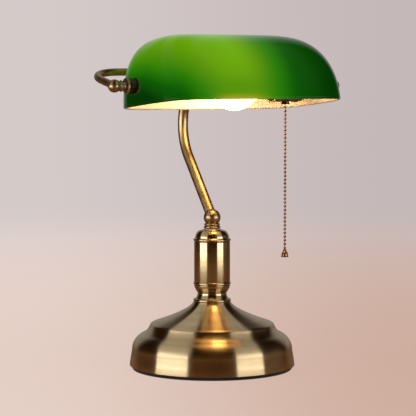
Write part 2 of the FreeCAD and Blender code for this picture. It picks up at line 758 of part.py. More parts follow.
def make_holder_insulator():
    r = HOLDER_R - HOLDER_WALL - FIT
    block = cylinder(r, INSULATOR_X, SHELL_END_X, PIVOT, X_AXIS)
    high = HEAD_Z + BEAD_R + 2 * FREE
    length = CHAIN_X + LEVER_ARM + LEVER_EYE_R + FREE - INSULATOR_X + 1
    corner = PIVOT + V(INSULATOR_X - 1, -CAVITY_HALF, -HOLDER_R)
    cavity = Part.makeBox(length, 2 * CAVITY_HALF, high + HOLDER_R, corner)
    block = block.cut(cavity)
    block = block.cut(cylinder(LEVER_PIN_R, -CAVITY_HALF - 4, CAVITY_HALF + 4, LEVER_PIN, Y_AXIS))
    block = block.cut(cylinder(NIPPLE_BORE_R, INSULATOR_X - 1, SHELL_END_X + 1, PIVOT + V(0, 0, 6), X_AXIS))
    return one_solid(block)


def make_screw_shell():
    inner = SCREW_R + RUN
    shell = tube(inner + SCREW_WALL, inner, HOLDER_MOUTH_X + 1, SCREW_END_X, PIVOT, X_AXIS)
    ring = tube(inner + SCREW_WALL, inner - 3, SCREW_END_X - 0.4, INSULATOR_X, PIVOT, X_AXIS)
    return one_solid(shell.fuse(ring).removeSplitter())


def make_centre_contact():
    return cylinder(CONTACT_R, INSULATOR_X - CONTACT_T, INSULATOR_X, PIVOT, X_AXIS)


def make_chain_guide():
    b, t = GUIDE_BOTTOM, GUIDE_TOP
    flare = GUIDE_MOUTH_R - GUIDE_R
    outer = [(GUIDE_MOUTH_R - 0.3, b), (GUIDE_MOUTH_R, b + 0.5), (GUIDE_R + flare * 0.3, b + 1.5)]
    outer += [(GUIDE_R, b + 2.4), (GUIDE_R, t)]
    inner = [(GUIDE_BORE_R, t), (GUIDE_BORE_R, b + 2.6), (GUIDE_BORE_R + flare * 0.4, b + 1.2)]
    inner += [(GUIDE_MOUTH_R - 0.9, b)]
    return revolve(outer + inner, CHAIN_TOP, Z_AXIS)


def make_switch_lever():
    """Forked lever: it turns on its pin as the link is pulled down through the fork."""
    x0 = -LEVER_ARM - 2.0
    arm = Part.makeBox(LEVER_ARM + 4.0, LEVER_W, LEVER_T, V(x0, -LEVER_W / 2, -LEVER_T / 2))
    eye = cylinder(LEVER_EYE_R, -LEVER_W / 2, LEVER_W / 2, V(0, 0, 0), Y_AXIS)
    lever = arm.fuse(eye)
    gap = 2 * (LINK_R + FREE)
    fork = Part.makeBox(4.6, gap, LEVER_T + 2, V(x0 - 0.1, -gap / 2, -LEVER_T / 2 - 1))
    lever = lever.cut(fork)
    lever = lever.cut(cylinder(LEVER_PIN_R + RUN, -LEVER_W, LEVER_W, V(0, 0, 0), Y_AXIS))
    lever = lever.removeSplitter()
    lever.translate(LEVER_PIN)
    return one_solid(lever)


def make_lever_pin():
    half = CAVITY_HALF + 4
    return cylinder(LEVER_PIN_R, -half, half, LEVER_PIN, Y_AXIS)


def make_pull_link():
    rod = cylinder(LINK_R, LINK_BEAD, HEAD_Z, CHAIN_TOP)
    head = Part.makeSphere(BEAD_R, CHAIN_TOP + V(0, 0, HEAD_Z))
    bead = Part.makeSphere(BEAD_R, CHAIN_TOP + V(0, 0, LINK_BEAD))
    return one_solid(rod.fuse(head).fuse(bead).removeSplitter())


# ---- pull chain ---------------------------------------------------------------------

SWING_CENTRE = CHAIN_TOP + V(0, 0, LINK_BEAD)
FIRST_BEAD = -BEAD_PITCH
LAST_BEAD = FIRST_BEAD - BEAD_PITCH * (BEADS - 1)


def make_pull_chain():
    """A string of beads on short pins, turned in one piece."""
    reach = math.sqrt(BEAD_R ** 2 - PIN_R ** 2)
    top = -BEAD_R - 0.3
    edges = [Part.LineSegment(V(0, 0, top), V(PIN_R, 0, top)).toShape()]
    start = V(PIN_R, 0, top)
    for k in range(BEADS):
        z = FIRST_BEAD - BEAD_PITCH * k
        above = V(PIN_R, 0, z + reach)
        below = V(PIN_R, 0, z - reach)
        edges.append(Part.LineSegment(start, above).toShape())
        edges.append(Part.Arc(above, V(BEAD_R, 0, z), below).toShape())
        start = below
    end = V(PIN_R, 0, LAST_BEAD - BEAD_R - 0.4)
    edges.append(Part.LineSegment(start, end).toShape())
    edges.append(Part.LineSegment(end, V(0, 0, end.z)).toShape())
    edges.append(Part.LineSegment(V(0, 0, end.z), V(0, 0, top)).toShape())
    solid = Part.Face(Part.Wire(edges)).revolve(V(0, 0, 0), Z_AXIS, 360)
    return place(solid, SWING_CENTRE, Z_AXIS)


def make_chain_bell():
    top = LAST_BEAD - BEAD_R - 0.1
    r = BELL_R
    points = [(PIN_R, top), (1.6, top), (2.0, top - 0.8), (1.7, top - 1.6), (2.3, top - 2.6)]
    points += [(r - 1.0, top - 4.4), (r - 0.4, top - BELL_H + 1.4), (r, top - BELL_H + 0.5), (r - 0.2, top - BELL_H)]
    points += [(0, top - BELL_H), (0, top - 0.4), (PIN_R, top - 0.4)]
    return revolve(points, SWING_CENTRE, Z_AXIS)


# ---- bulb ---------------------------------------------------------------------------

CAP_END_X = INSULATOR_X - CONTACT_T - 0.2
CAP_TIP_X = CAP_END_X - BULB_TIP_L
CAP_START_X = CAP_TIP_X - BULB_CAP_L


def bulb_outline(inset):
    """Half outline of the glass, from its far tip to the neck in the cap."""
    r = BULB_R - inset
    neck = BULB_NECK_R - inset
    points = arc_points((0, BULB_X), r, -90, 42, 23)
    start_r, start_x = points[-1]
    end_x = CAP_START_X + 4.0
    steps = 8
    for k in range(1, steps + 1):
        t = k / steps
        ease = 1 - (1 - t) ** 2.2
        points.append((start_r + (neck - start_r) * ease, start_x + (end_x - start_x) * t))
    points[0] = (0, BULB_X - r)
    return points


def make_bulb_glass():
    outer = bulb_outline(0)
    inner = bulb_outline(BULB_WALL)
    return holder_shape(outer + inner[::-1])


def make_bulb_cap():
    r = SCREW_R
    points = [(r - 0.5, CAP_START_X), (r, CAP_START_X + 0.8), (r, CAP_TIP_X - 1.5)]
    points += [(6.0, CAP_TIP_X), (0, CAP_TIP_X), (0, CAP_TIP_X - 1), (5.6, CAP_TIP_X - 1)]
    points += [(r - 0.6, CAP_TIP_X - 2.2), (r - 0.6, CAP_START_X)]
    return holder_shape(points)


def make_bulb_tip():
    points = [(0, CAP_TIP_X), (5.8, CAP_TIP_X), (4.6, CAP_TIP_X + 2), (0, CAP_TIP_X + 2)]
    return holder_shape(points)


def make_bulb_contact():
    points = [(0, CAP_TIP_X + 2), (4.0, CAP_TIP_X + 2), (2.6, CAP_END_X), (0, CAP_END_X)]
    return holder_shape(points)


def make_bulb_stem():
    foot = CAP_START_X + 4.0
    points = [(0, BULB_X + 10), (2.2, BULB_X + 10), (2.6, foot - 10), (6, foot - 3), (8, foot), (0, foot)]
    return holder_shape(points)


def make_bulb_filament():
    """Two support wires and a coiled bar of filament, shown as one bar."""
    z = 9.0
    bar = cylinder(0.6, -z, z, PIVOT + V(BULB_X - 4, 0, 0), Z_AXIS)
    for side in (-1, 1):
        start = PIVOT + V(BULB_X - 4, 0, side * (z - 0.6))
        end = PIVOT + V(BULB_X + 9.9, 0, side * 1.2)
        run = end - start
        bar = bar.fuse(cylinder(0.4, 0, run.Length, start, run))
    return one_solid(bar.removeSplitter())


# ---- all pieces ---------------------------------------------------------------------

def all_pieces():
    right, left = 1, -1
    pieces = {
        "base_pad": make_base_pad(),
        "base_shell": make_base_shell(),
        "base_weight": make_base_weight(),
        "base_spacer": make_base_spacer(),
        "base_washer": make_base_washer(),
        "base_nut": make_base_nut(),
        "cord_gland": make_cord_gland(),
        "centre_rod": make_centre_rod(),
        "base_collar": make_base_collar(),
        "column_cup": make_column_cup(),
        "column_tube": make_column_tube(),
        "column_cap": make_column_cap(),
        "column_lead": make_column_lead(),
        "swivel_stud": make_swivel_stud(),
        "swivel_washer": make_swivel_washer(),
        "swivel_nut": make_swivel_nut(),
        "swivel_neck": make_swivel_neck(),
        "swivel_ball": make_swivel_ball(),
        "arm_tube": make_arm_tube(),
        "arm_lead": make_arm_lead(),
        "yoke_hub": make_yoke_hub(),
        "hub_screw": make_hub_screw(),
        "yoke_rod": make_yoke_rod(),
        "yoke_lead": make_yoke_lead(),
        "shade_glass": make_shade_glass(),
        "left_nipple": nipple(left, STACK_IN_X - INNER_NUT_T - 2),
        "right_nipple": nipple(right, STACK_IN_X - 4.0 - HOLDER_WALL),
        "inner_nut": make_inner_nut(),
        "holder_shell": make_holder_shell(),
        "holder_cap": make_holder_cap(),
        "holder_insulator": make_holder_insulator(),
        "screw_shell": make_screw_shell(),
        "centre_contact": make_centre_contact(),
        "chain_guide": make_chain_guide(),
        "switch_lever": make_switch_lever(),
        "lever_pin": make_lever_pin(),
        "pull_link": make_pull_link(),
        "pull_chain": make_pull_chain(),
        "chain_bell": make_chain_bell(),
        "bulb_glass": make_bulb_glass(),
        "bulb_cap": make_bulb_cap(),
        "bulb_tip": make_bulb_tip(),
        "bulb_contact": make_bulb_contact(),
        "bulb_stem": make_bulb_stem(),
        "bulb_filament": make_bulb_filament(),
    }
    for name, side in (("left", left), ("right", right)):
        pieces[name + "_end_ball"] = make_end_ball(side)
        pieces[name + "_lock_ring"] = make_lock_ring(side)
        pieces[name + "_thumb_nut"] = make_thumb_nut(side)
        pieces[name + "_outer_washer"] = make_outer_washer(side)
        pieces[name + "_inner_washer"] = make_inner_washer(side)
        pieces[name + "_shade_bush"] = make_shade_bush(side)
    return pieces


os.makedirs("parts", exist_ok=True)
for name, shape in all_pieces().items():
    print(name, len(shape.Solids), round(shape.Volume, 1), shape.isValid())
    shape.exportStep("parts/" + name + ".step")
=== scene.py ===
# %% [markdown]
# # A banker's desk lamp, made piece by piece
# The lamp stands on a spun brass base. A turned column carries a swivelling bent arm, the arm
# carries a forked yoke, and the yoke carries a long glass shade, green outside and white inside.
# The lamp was first drawn as exact solids. This script loads those solids as a frame that never
# moves, and makes finer meshes and finishes on it, each in the same place and on the same body.

# %% Load the frame
import bpy
import bmesh
import json
import math
from mathutils import Matrix, Vector


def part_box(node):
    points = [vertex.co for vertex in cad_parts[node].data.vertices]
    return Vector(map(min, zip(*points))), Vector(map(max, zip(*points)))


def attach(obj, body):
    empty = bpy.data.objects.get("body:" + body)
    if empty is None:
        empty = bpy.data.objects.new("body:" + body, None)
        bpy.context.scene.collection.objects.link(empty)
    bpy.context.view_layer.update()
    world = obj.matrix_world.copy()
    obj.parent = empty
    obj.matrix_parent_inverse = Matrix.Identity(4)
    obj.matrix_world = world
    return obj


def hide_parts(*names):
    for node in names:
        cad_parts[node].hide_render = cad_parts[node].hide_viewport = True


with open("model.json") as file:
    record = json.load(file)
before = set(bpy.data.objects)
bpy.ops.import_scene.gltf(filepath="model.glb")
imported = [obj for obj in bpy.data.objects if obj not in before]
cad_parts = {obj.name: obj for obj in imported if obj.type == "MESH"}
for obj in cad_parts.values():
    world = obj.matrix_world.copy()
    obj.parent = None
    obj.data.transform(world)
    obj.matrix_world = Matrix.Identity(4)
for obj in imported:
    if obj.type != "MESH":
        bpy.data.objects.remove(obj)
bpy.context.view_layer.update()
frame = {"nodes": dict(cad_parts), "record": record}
MM = 0.001

# %% [markdown]
# Every position comes from the frame. A node's box gives its two far corners, so half their sum is
# its middle. The shade turns about one line, the tilt axis, and all the hardware at the shade's ends
# is centred on it. The lock ring is a plain ring on that axis, so its middle gives the axis's place.

# %% Places taken from the frame
def middle(node):
    low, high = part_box(node)
    return (low + high) / 2


def low_of(node):
    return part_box(node)[0] / MM


def high_of(node):
    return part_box(node)[1] / MM


X_AXIS, Y_AXIS, Z_AXIS = Vector((1, 0, 0)), Vector((0, 1, 0)), Vector((0, 0, 1))
FOOT = Vector((0, 0, 0))
tilt_axis = middle("left_lock_ring")
tilt_axis.x = 0.0
globe_r = (high_of("bulb_glass").z - low_of("bulb_glass").z) / 2
bulb_centre = Vector(((low_of("bulb_glass").x + globe_r) * MM, tilt_axis.y, tilt_axis.z))
chain_top = middle("pull_chain")
print("tilt axis", [round(v / MM, 2) for v in tilt_axis])

# %% [markdown]
# ## Making shapes
# Most of this lamp is turned on a lathe or spun over a former. In mesh form that is one closed
# outline, given as radius and height, carried round an axis. Sharp corners catch no light, so each
# corner of an outline is eased with a small curve first, as a maker breaks an edge with a file.

# %% A lathe
def eased(outline, radius, sharp=25):
    """Round each corner of a closed outline that turns by more than the sharp angle."""
    points = []
    count = len(outline)
    for k in range(count):
        before, here, after = (Vector(outline[(k + j) % count]) for j in (-1, 0, 1))
        one, two = before - here, after - here
        if one.length < 1e-6 or two.length < 1e-6 or here.x < 1e-6:
            points.append(tuple(here))
            continue
        turn = 180 - math.degrees(one.angle(two))
        reach = min(radius, one.length * 0.4, two.length * 0.4)
        if turn < sharp:
            points.append(tuple(here))
            continue
        start, end = here + one.normalized() * reach, here + two.normalized() * reach
        for t in (0.0, 0.33, 0.67, 1.0):
            points.append(tuple(start * (1 - t) ** 2 + here * 2 * t * (1 - t) + end * t * t))
    return points


def placed(name, data):
    """An object at the origin, linked into the scene."""
    thing = bpy.data.objects.new(name, data)
    bpy.context.scene.collection.objects.link(thing)
    return thing


def piece_from(mesh, name, materials, sharp=35):
    """An object at the origin from a finished mesh, shaded smooth between its sharp edges."""
    piece = placed(name, mesh)
    for material in materials:
        mesh.materials.append(material)
    mesh.shade_smooth()
    mesh.set_sharp_from_angle(angle=math.radians(sharp))
    return piece


def lathe(name, outline, material, centre=FOOT, axis=Z_AXIS, steps=96, ease=0.25):
    """Turn a closed outline of (radius, distance along the axis), in millimetres."""
    points = eased(outline, ease)
    bm = bmesh.new()
    rings = []
    for radius, height in points:
        count = 1 if radius < 1e-6 else steps
        angles = [2 * math.pi * k / steps for k in range(count)]
        spots = [(radius * MM * math.cos(a), radius * MM * math.sin(a), height * MM) for a in angles]
        rings.append([bm.verts.new(spot) for spot in spots])
    for one, two in zip(rings, rings[1:] + rings[:1]):
        if len(one) == len(two) == 1:
            continue
        for k in range(steps):
            m = (k + 1) % steps
            corners = [one[k % len(one)], one[m % len(one)], two[m % len(two)], two[k % len(two)]]
            unique = list(dict.fromkeys(corners))
            bm.faces.new(unique)
    bmesh.ops.recalc_face_normals(bm, faces=bm.faces)
    turn = Z_AXIS.rotation_difference(axis).to_matrix().to_4x4()
    bmesh.ops.transform(bm, matrix=Matrix.Translation(centre) @ turn, verts=bm.verts)
    mesh = bpy.data.meshes.new(name)
    bm.to_mesh(mesh)
    bm.free()
    return piece_from(mesh, name, [material])


def arc(centre, radius, start, end, count):
    """Points on an arc of an outline; angles are measured from the radius direction."""
    angles = [math.radians(start + (end - start) * k / (count - 1)) for k in range(count)]
    return [(centre[0] + radius * math.cos(a), centre[1] + radius * math.sin(a)) for a in angles]


def pull_curve(start, pull, end, count):
    """A curve that leaves the start and meets the end towards one pull point."""
    steps = [k / (count - 1) for k in range(count)]
    weights = [((1 - t) ** 2, 2 * t * (1 - t), t * t) for t in steps]
    return [tuple(sum(w * p[i] for w, p in zip(ws, (start, pull, end))) for i in (0, 1)) for ws in weights]


def set_on(piece, body, *nodes):
    """Finish a piece: it rides on a body and stands for its nodes, which are hidden."""
    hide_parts(*nodes)
    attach(piece, body)
    print(piece.name, "on", body, len(piece.data.polygons), "faces")
    return piece


SLOT_OF = {}
for part in frame["record"]["subparts"]:
    SLOT_OF[part["node"]] = part["material_slot"]
print("slots", len(set(SLOT_OF.values())))

# %% [markdown]
# ## Making finishes
# A finish is a small network of nodes that works out colour, roughness and fine relief at each spot
# of the surface. Three effects are shared by many finishes, so each is a node group that gives out a
# mask or a height, and each material mixes those into its own Principled shader.

# %% Small helpers for node networks
def wire(tree, target, source):
    """Join a source socket to a target socket, or set the target's own value."""
    if isinstance(source, bpy.types.NodeSocket):
        tree.links.new(source, target)
    else:
        target.default_value = source


def maths(tree, operation, a, b=0.0, c=0.0, clamp=False):
    node = tree.nodes.new("ShaderNodeMath")
    node.operation = operation
    node.use_clamp = clamp
    for socket, value in zip(node.inputs, (a, b, c)):
        wire(tree, socket, value)
    return node.outputs[0]


def times(tree, a, b):
    return maths(tree, "MULTIPLY", a, b)


def plus(tree, a, b):
    return maths(tree, "ADD", a, b)


def axes(tree, vector):
    """The three parts of a vector."""
    parts = tree.nodes.new("ShaderNodeSeparateXYZ")
    wire(tree, parts.inputs[0], vector)
    return parts.outputs


def span(tree, value, from_low, from_high, to_low=0.0, to_high=1.0, smooth=False):
    """Map a value from one range to another and hold it there."""
    node = tree.nodes.new("ShaderNodeMapRange")
    node.interpolation_type = "SMOOTHSTEP" if smooth else "LINEAR"
    for socket, v in zip(node.inputs, (value, from_low, from_high, to_low, to_high)):
        wire(tree, socket, v)
    return node.outputs[0]


def blend_colours(tree, factor, one, two):
    node = tree.nodes.new("ShaderNodeMix")
    node.data_type = "RGBA"
    wire(tree, node.inputs["Factor"], factor)
    wire(tree, node.inputs["A"], one)
    wire(tree, node.inputs["B"], two)
    return node.outputs["Result"]


def noise(tree, vector, scale, detail=3.0, rough=0.5, dimensions="3D", w=None):
    node = tree.nodes.new("ShaderNodeTexNoise")
    node.noise_dimensions = dimensions
    wire(tree, node.inputs["Vector"], vector)
    wire(tree, node.inputs["Scale"], scale)
    wire(tree, node.inputs["Detail"], detail)
    wire(tree, node.inputs["Roughness"], rough)
    if w is not None:
        wire(tree, node.inputs["W"], w)
    return node.outputs[0]


def new_group(name, inputs, outputs):
    """An empty shader group with named sockets; gives the group, its inputs and its outputs."""
    group = bpy.data.node_groups.new(name, "ShaderNodeTree")
    for label, kind, value in inputs:
        socket = group.interface.new_socket(label, in_out="INPUT", socket_type=kind)
        if value is not None:
            socket.default_value = value
    for label, kind in outputs:
        group.interface.new_socket(label, in_out="OUTPUT", socket_type=kind)
    return group, group.nodes.new("NodeGroupInput").outputs, group.nodes.new("NodeGroupOutput").inputs


def use_group(tree, group, **inputs):
    node = tree.nodes.new("ShaderNodeGroup")
    node.node_tree = group
    for label, value in inputs.items():
        wire(tree, node.inputs[label.replace("_", " ")], value)
    return node.outputs


def rgb(red, green, blue):
    return (red, green, blue, 1.0)


# %% [markdown]
# Spun and turned brass is rubbed with fine abrasive while it turns, which leaves hair lines that run
# round the piece. Lines that run round depend on radius and height but hardly on the way round, so
# the noise is read at (radius, height) and, very slowly, at the direction, which makes each line end
# somewhere. Four noise dimensions hold those four numbers, so there is no seam.

# %% Hair lines from the lathe
def make_turning_lines():
    group, given, out = new_group(
        "turning_lines",
        [("Vector", "NodeSocketVector", None), ("Lines per metre", "NodeSocketFloat", 900.0)],
        [("Height", "NodeSocketFloat"), ("Streak", "NodeSocketFloat")],
    )
    x, y, z = axes(group, given["Vector"])
    radius = maths(group, "SQRT", plus(group, times(group, x, x), times(group, y, y)))
    safe = maths(group, "MAXIMUM", radius, 0.0005)
    round_x = times(group, maths(group, "DIVIDE", x, safe), 0.9)
    round_y = times(group, maths(group, "DIVIDE", y, safe), 0.9)
    joined = group.nodes.new("ShaderNodeCombineXYZ")
    wire(group, joined.inputs[0], times(group, radius, given["Lines per metre"]))
    wire(group, joined.inputs[1], times(group, z, given["Lines per metre"]))
    wire(group, joined.inputs[2], round_x)
    fine = noise(group, joined.outputs[0], 1.0, 2.0, 0.6, "4D", round_y)
    broad = noise(group, joined.outputs[0], 0.16, 2.0, 0.5, "4D", round_y)
    wire(group, out["Height"], fine)
    wire(group, out["Streak"], broad)
    return group


turning_lines = make_turning_lines()

# %% [markdown]
# Antique brass is coloured dark and then rubbed back, so it keeps cloudy darker patches. Soft noise
# gives the clouds, and a second finer noise gives finger marks that only change the gloss.

# %% Patina and finger marks
def make_patina():
    group, given, out = new_group(
        "patina",
        [("Vector", "NodeSocketVector", None), ("Cloud size", "NodeSocketFloat", 38.0)],
        [("Cloud", "NodeSocketFloat"), ("Smudge", "NodeSocketFloat")],
    )
    cloud = noise(group, given["Vector"], given["Cloud size"], 4.0, 0.55)
    smudge = noise(group, given["Vector"], times(group, given["Cloud size"], 3.1), 3.0, 0.6)
    wire(group, out["Cloud"], span(group, cloud, 0.36, 0.66, smooth=True))
    wire(group, out["Smudge"], span(group, smudge, 0.35, 0.7, smooth=True))
    return group


FLAT = 0.5  # what Pointiness reads on a flat face


def make_edge_wear():
    group, given, out = new_group(
        "edge_wear",
        [("Vector", "NodeSocketVector", None)],
        [("Worn", "NodeSocketFloat"), ("Hollow", "NodeSocketFloat")],
    )
    point = group.nodes.new("ShaderNodeNewGeometry").outputs["Pointiness"]
    torn = noise(group, given["Vector"], 260.0, 3.0, 0.6)
    raised = plus(group, point, times(group, maths(group, "SUBTRACT", torn, 0.5), 0.008))
    wire(group, out["Worn"], span(group, raised, FLAT + 0.025, FLAT + 0.09, smooth=True))
    wire(group, out["Hollow"], span(group, raised, FLAT - 0.025, FLAT - 0.09, smooth=True))
    return group


patina = make_patina()
edge_wear = make_edge_wear()
print("groups", [g.name for g in bpy.data.node_groups])

# %% Start a material
def start_material(name, **constants):
    """A material with one Principled shader; constants are set on the shader's own sockets."""
    material = bpy.data.materials.new(name)
    material.use_nodes = True
    tree = material.node_tree
    shader = tree.nodes["Principled BSDF"]
    for label, value in constants.items():
        shader.inputs[label.replace("_", " ")].default_value = value
    coordinates = tree.nodes.new("ShaderNodeTexCoord")
    return material, tree, shader, coordinates.outputs["Object"]


def centred(tree, vector, centre, turn=(0.0, 0.0, 0.0)):
    """Object coordinates moved so that a pattern is centred on a piece, and turned."""
    node = tree.nodes.new("ShaderNodeMapping")
    node.vector_type = "TEXTURE"
    wire(tree, node.inputs["Vector"], vector)
    node.inputs["Location"].default_value = centre
    node.inputs["Rotation"].default_value = turn
    return node.outputs[0]


def relief(tree, shader, height, strength, distance=0.0002):
    bump = tree.nodes.new("ShaderNodeBump")
    bump.inputs["Strength"].default_value = strength
    bump.inputs["Distance"].default_value = distance
    wire(tree, bump.inputs["Height"], height)
    wire(tree, shader.inputs["Normal"], bump.outputs[0])


# %% [markdown]
# ## Antique brass
# Metal has no colour of its own under the gloss: its colour tints what it mirrors. The turned brass
# mixes a pale rubbed tone with a browner one by the hair lines and the clouds, and wears brighter on
# its edges. The lines also spread a highlight across themselves, which the shader's anisotropy gives
# once its tangent runs round the axis.

# %% Turned and polished brass
QUARTER = math.pi / 2
BRASS_PALE, BRASS_BROWN = (0.60, 0.475, 0.285), (0.40, 0.285, 0.14)


def scaled(colour, share):
    """A darker or a paler tone of the same colour."""
    return rgb(*[min(1.0, share * v) for v in colour])


def turned_brass(name, rough, lines, stretch):
    """Brass with hair lines round the upright axis, which stretch a highlight across themselves."""
    material, tree, shader, place = start_material(
        name, Metallic=1.0, Anisotropic=stretch, Anisotropic_Rotation=0.25, Coat_Weight=0.1, Coat_Roughness=0.1)
    line = use_group(tree, turning_lines, Vector=place, Lines_per_metre=lines)
    old = use_group(tree, patina, Vector=place)
    wear = use_group(tree, edge_wear, Vector=place)
    cloud = times(tree, old["Cloud"], 0.12)
    mixed = maths(tree, "MULTIPLY_ADD", span(tree, line["Streak"], 0.3, 0.7), 0.34, cloud)
    body = blend_colours(tree, mixed, rgb(*BRASS_PALE), rgb(*BRASS_BROWN))
    hollow = blend_colours(tree, times(tree, wear["Hollow"], 0.7), body, scaled(BRASS_BROWN, 0.4))
    bright = blend_colours(tree, times(tree, wear["Worn"], 0.4), hollow, scaled(BRASS_PALE, 1.2))
    wire(tree, shader.inputs["Base Color"], bright)
    smudge = times(tree, old["Smudge"], 0.3)
    gloss = maths(tree, "MULTIPLY_ADD", span(tree, line["Height"], 0.3, 0.7), 0.7, smudge)
    wire(tree, shader.inputs["Roughness"], span(tree, gloss, 0.0, 1.0, *rough))
    relief(tree, shader, line["Height"], 0.02, 0.000004)
    tangent = tree.nodes.new("ShaderNodeTangent")
    tangent.direction_type, tangent.axis = "RADIAL", "Z"
    wire(tree, shader.inputs["Tangent"], tangent.outputs[0])
    return material


base_brass = turned_brass("brass_turned_base", (0.22, 0.27), 900.0, 1.0)
column_brass = turned_brass("brass_turned_column", (0.17, 0.23), 1500.0, 0.85)


def rubbed_brass(name, pale, brown, rough):
    """Polished antique brass for tubes and balls: clouds and worn edges, with no lathe lines."""
    material, tree, shader, place = start_material(name, Metallic=1.0, Coat_Weight=0.1, Coat_Roughness=0.2)
    old = use_group(tree, patina, Vector=place, Cloud_size=60.0)
    wear = use_group(tree, edge_wear, Vector=place)
    body = blend_colours(tree, times(tree, old["Cloud"], 0.7), rgb(*pale), rgb(*brown))
    hollow = blend_colours(tree, times(tree, wear["Hollow"], 0.8), body, scaled(brown, 0.3))
    bright = blend_colours(tree, times(tree, wear["Worn"], 0.15), hollow, scaled(pale, 1.25))
    wire(tree, shader.inputs["Base Color"], bright)
    wire(tree, shader.inputs["Roughness"], span(tree, old["Smudge"], 0.0, 1.0, *rough))
    return material


tube_brass = rubbed_brass("brass_rubbed", (0.50, 0.355, 0.185), (0.34, 0.215, 0.095), (0.31, 0.36))
chain_brass = rubbed_brass("brass_chain", (0.36, 0.20, 0.085), (0.22, 0.115, 0.045), (0.24, 0.34))
dark_bronze = rubbed_brass("bronze_dark", (0.13, 0.095, 0.06), (0.055, 0.04, 0.028), (0.24, 0.4))
print("brass finishes", [m.name for m in (base_brass, column_brass, tube_brass, chain_brass, dark_bronze)])

# %% [markdown]
# ## Plain finishes
# The hidden and small pieces have simple finishes: zinc plate, cast iron, rubber, nylon, fibre,
# moulded phenolic and pressed contact brass. One recipe serves them all. It mixes two tones by noise
# of the right grain, varies the gloss with the same noise, and lifts the surface slightly.

# %% One recipe for plain finishes
def plain_finish(name, one, two, grain, rough, bump, **constants):
    material, tree, shader, place = start_material(name, **constants)
    coarse = noise(tree, place, grain, 4.0, 0.6)
    fine = noise(tree, place, grain * 7.0, 2.0, 0.5)
    mix = span(tree, coarse, 0.35, 0.65, smooth=True)
    wire(tree, shader.inputs["Base Color"], blend_colours(tree, mix, rgb(*one), rgb(*two)))
    wire(tree, shader.inputs["Roughness"], span(tree, fine, 0.3, 0.7, *rough))
    relief(tree, shader, plus(tree, coarse, times(tree, fine, 0.5)), bump)
    return material


# slot: name, two tones, grain per metre, roughness range, relief, and the shader's own constants
PLAIN = {
    "pad_felt": ("felt_black", (0.012, 0.011, 0.010), (0.030, 0.027, 0.025),
        900.0, (0.9, 1.0), 0.6, {"Sheen_Weight": 0.25}),
    "cast_weight": ("iron_cast", (0.05, 0.05, 0.05), (0.11, 0.105, 0.10),
        300.0, (0.7, 0.9), 0.9, {"Metallic": 0.4}),
    "zinc_steel": ("steel_zinc", (0.50, 0.50, 0.49), (0.36, 0.37, 0.38),
        420.0, (0.25, 0.45), 0.1, {"Metallic": 1.0}),
    "black_rubber": ("rubber_black", (0.012, 0.012, 0.012), (0.03, 0.03, 0.03), 500.0, (0.55, 0.75), 0.25, {}),
    "lead_sleeve": ("sleeve_lead", (0.55, 0.52, 0.46), (0.40, 0.37, 0.32), 350.0, (0.5, 0.65), 0.1, {}),
    "nylon": ("nylon_pale", (0.62, 0.58, 0.50), (0.50, 0.46, 0.39), 300.0, (0.4, 0.55), 0.08, {}),
    "fibre": ("fibre_brown", (0.16, 0.075, 0.035), (0.09, 0.04, 0.02), 700.0, (0.6, 0.8), 0.35, {}),
    "phenolic": ("phenolic_black", (0.018, 0.014, 0.012), (0.035, 0.028, 0.022), 260.0, (0.3, 0.45), 0.08, {}),
    "contact_brass": ("brass_contact", (0.72, 0.50, 0.22), (0.56, 0.37, 0.15),
        380.0, (0.22, 0.4), 0.1, {"Metallic": 1.0}),
    "cap_aluminium": ("aluminium_cap", (0.62, 0.62, 0.61), (0.48, 0.48, 0.48),
        420.0, (0.25, 0.42), 0.12, {"Metallic": 1.0}),
    "clear_stem": ("glass_stem", (0.82, 0.86, 0.84), (0.74, 0.79, 0.77),
        120.0, (0.03, 0.08), 0.02, {"Transmission_Weight": 0.9, "IOR": 1.5}),
    "filament": ("filament_hot", (1.0, 0.62, 0.30), (1.0, 0.48, 0.18),
        900.0, (0.5, 0.6), 0.1, {"Emission_Color": (1.0, 0.55, 0.22, 1.0), "Emission_Strength": 20.0}),
}
plain = {slot: plain_finish(*row[:-1], **row[-1]) for slot, row in PLAIN.items()}
plain.update(
    dark_bronze=dark_bronze, chain_brass=chain_brass,
    polished_antique_brass=tube_brass, brushed_antique_brass=base_brass)
for node, thing in frame["nodes"].items():
    finish = plain.get(SLOT_OF[node])
    if finish is None:
        continue
    if not thing.material_slots:
        thing.data.materials.append(finish)
    for place in thing.material_slots:
        place.link = "OBJECT"
        place.material = finish
print("plain finishes on", sum(SLOT_OF[n] in plain for n in frame["nodes"]), "nodes")

# %% [markdown]
# ## The base
# The base is one sheet of brass spun over a former: a near-upright skirt, a round shoulder, a lipped
# ledge and a hollow cone up to the column. The outline below goes up the outside and down the inside,
# one wall apart, so the shell is closed and hollow like the real one.

# %% Outline of the spun base
SHELL_WALL = 1.2
SKIRT_TOP = 21.0
SKIRT_TAPER = 2.7
SHOULDER_R = 19.0
SHOULDER_TURN = 66.0
LEDGE_R = 68.0
LEDGE_Z = 49.2
LEDGE_ROUND = 2.4
CONE_CURVE = 1.55
NECK_SEAT_R = 20.5
foot_z = low_of("base_shell").z
foot_r = high_of("base_shell").x
seat_z = high_of("base_shell").z


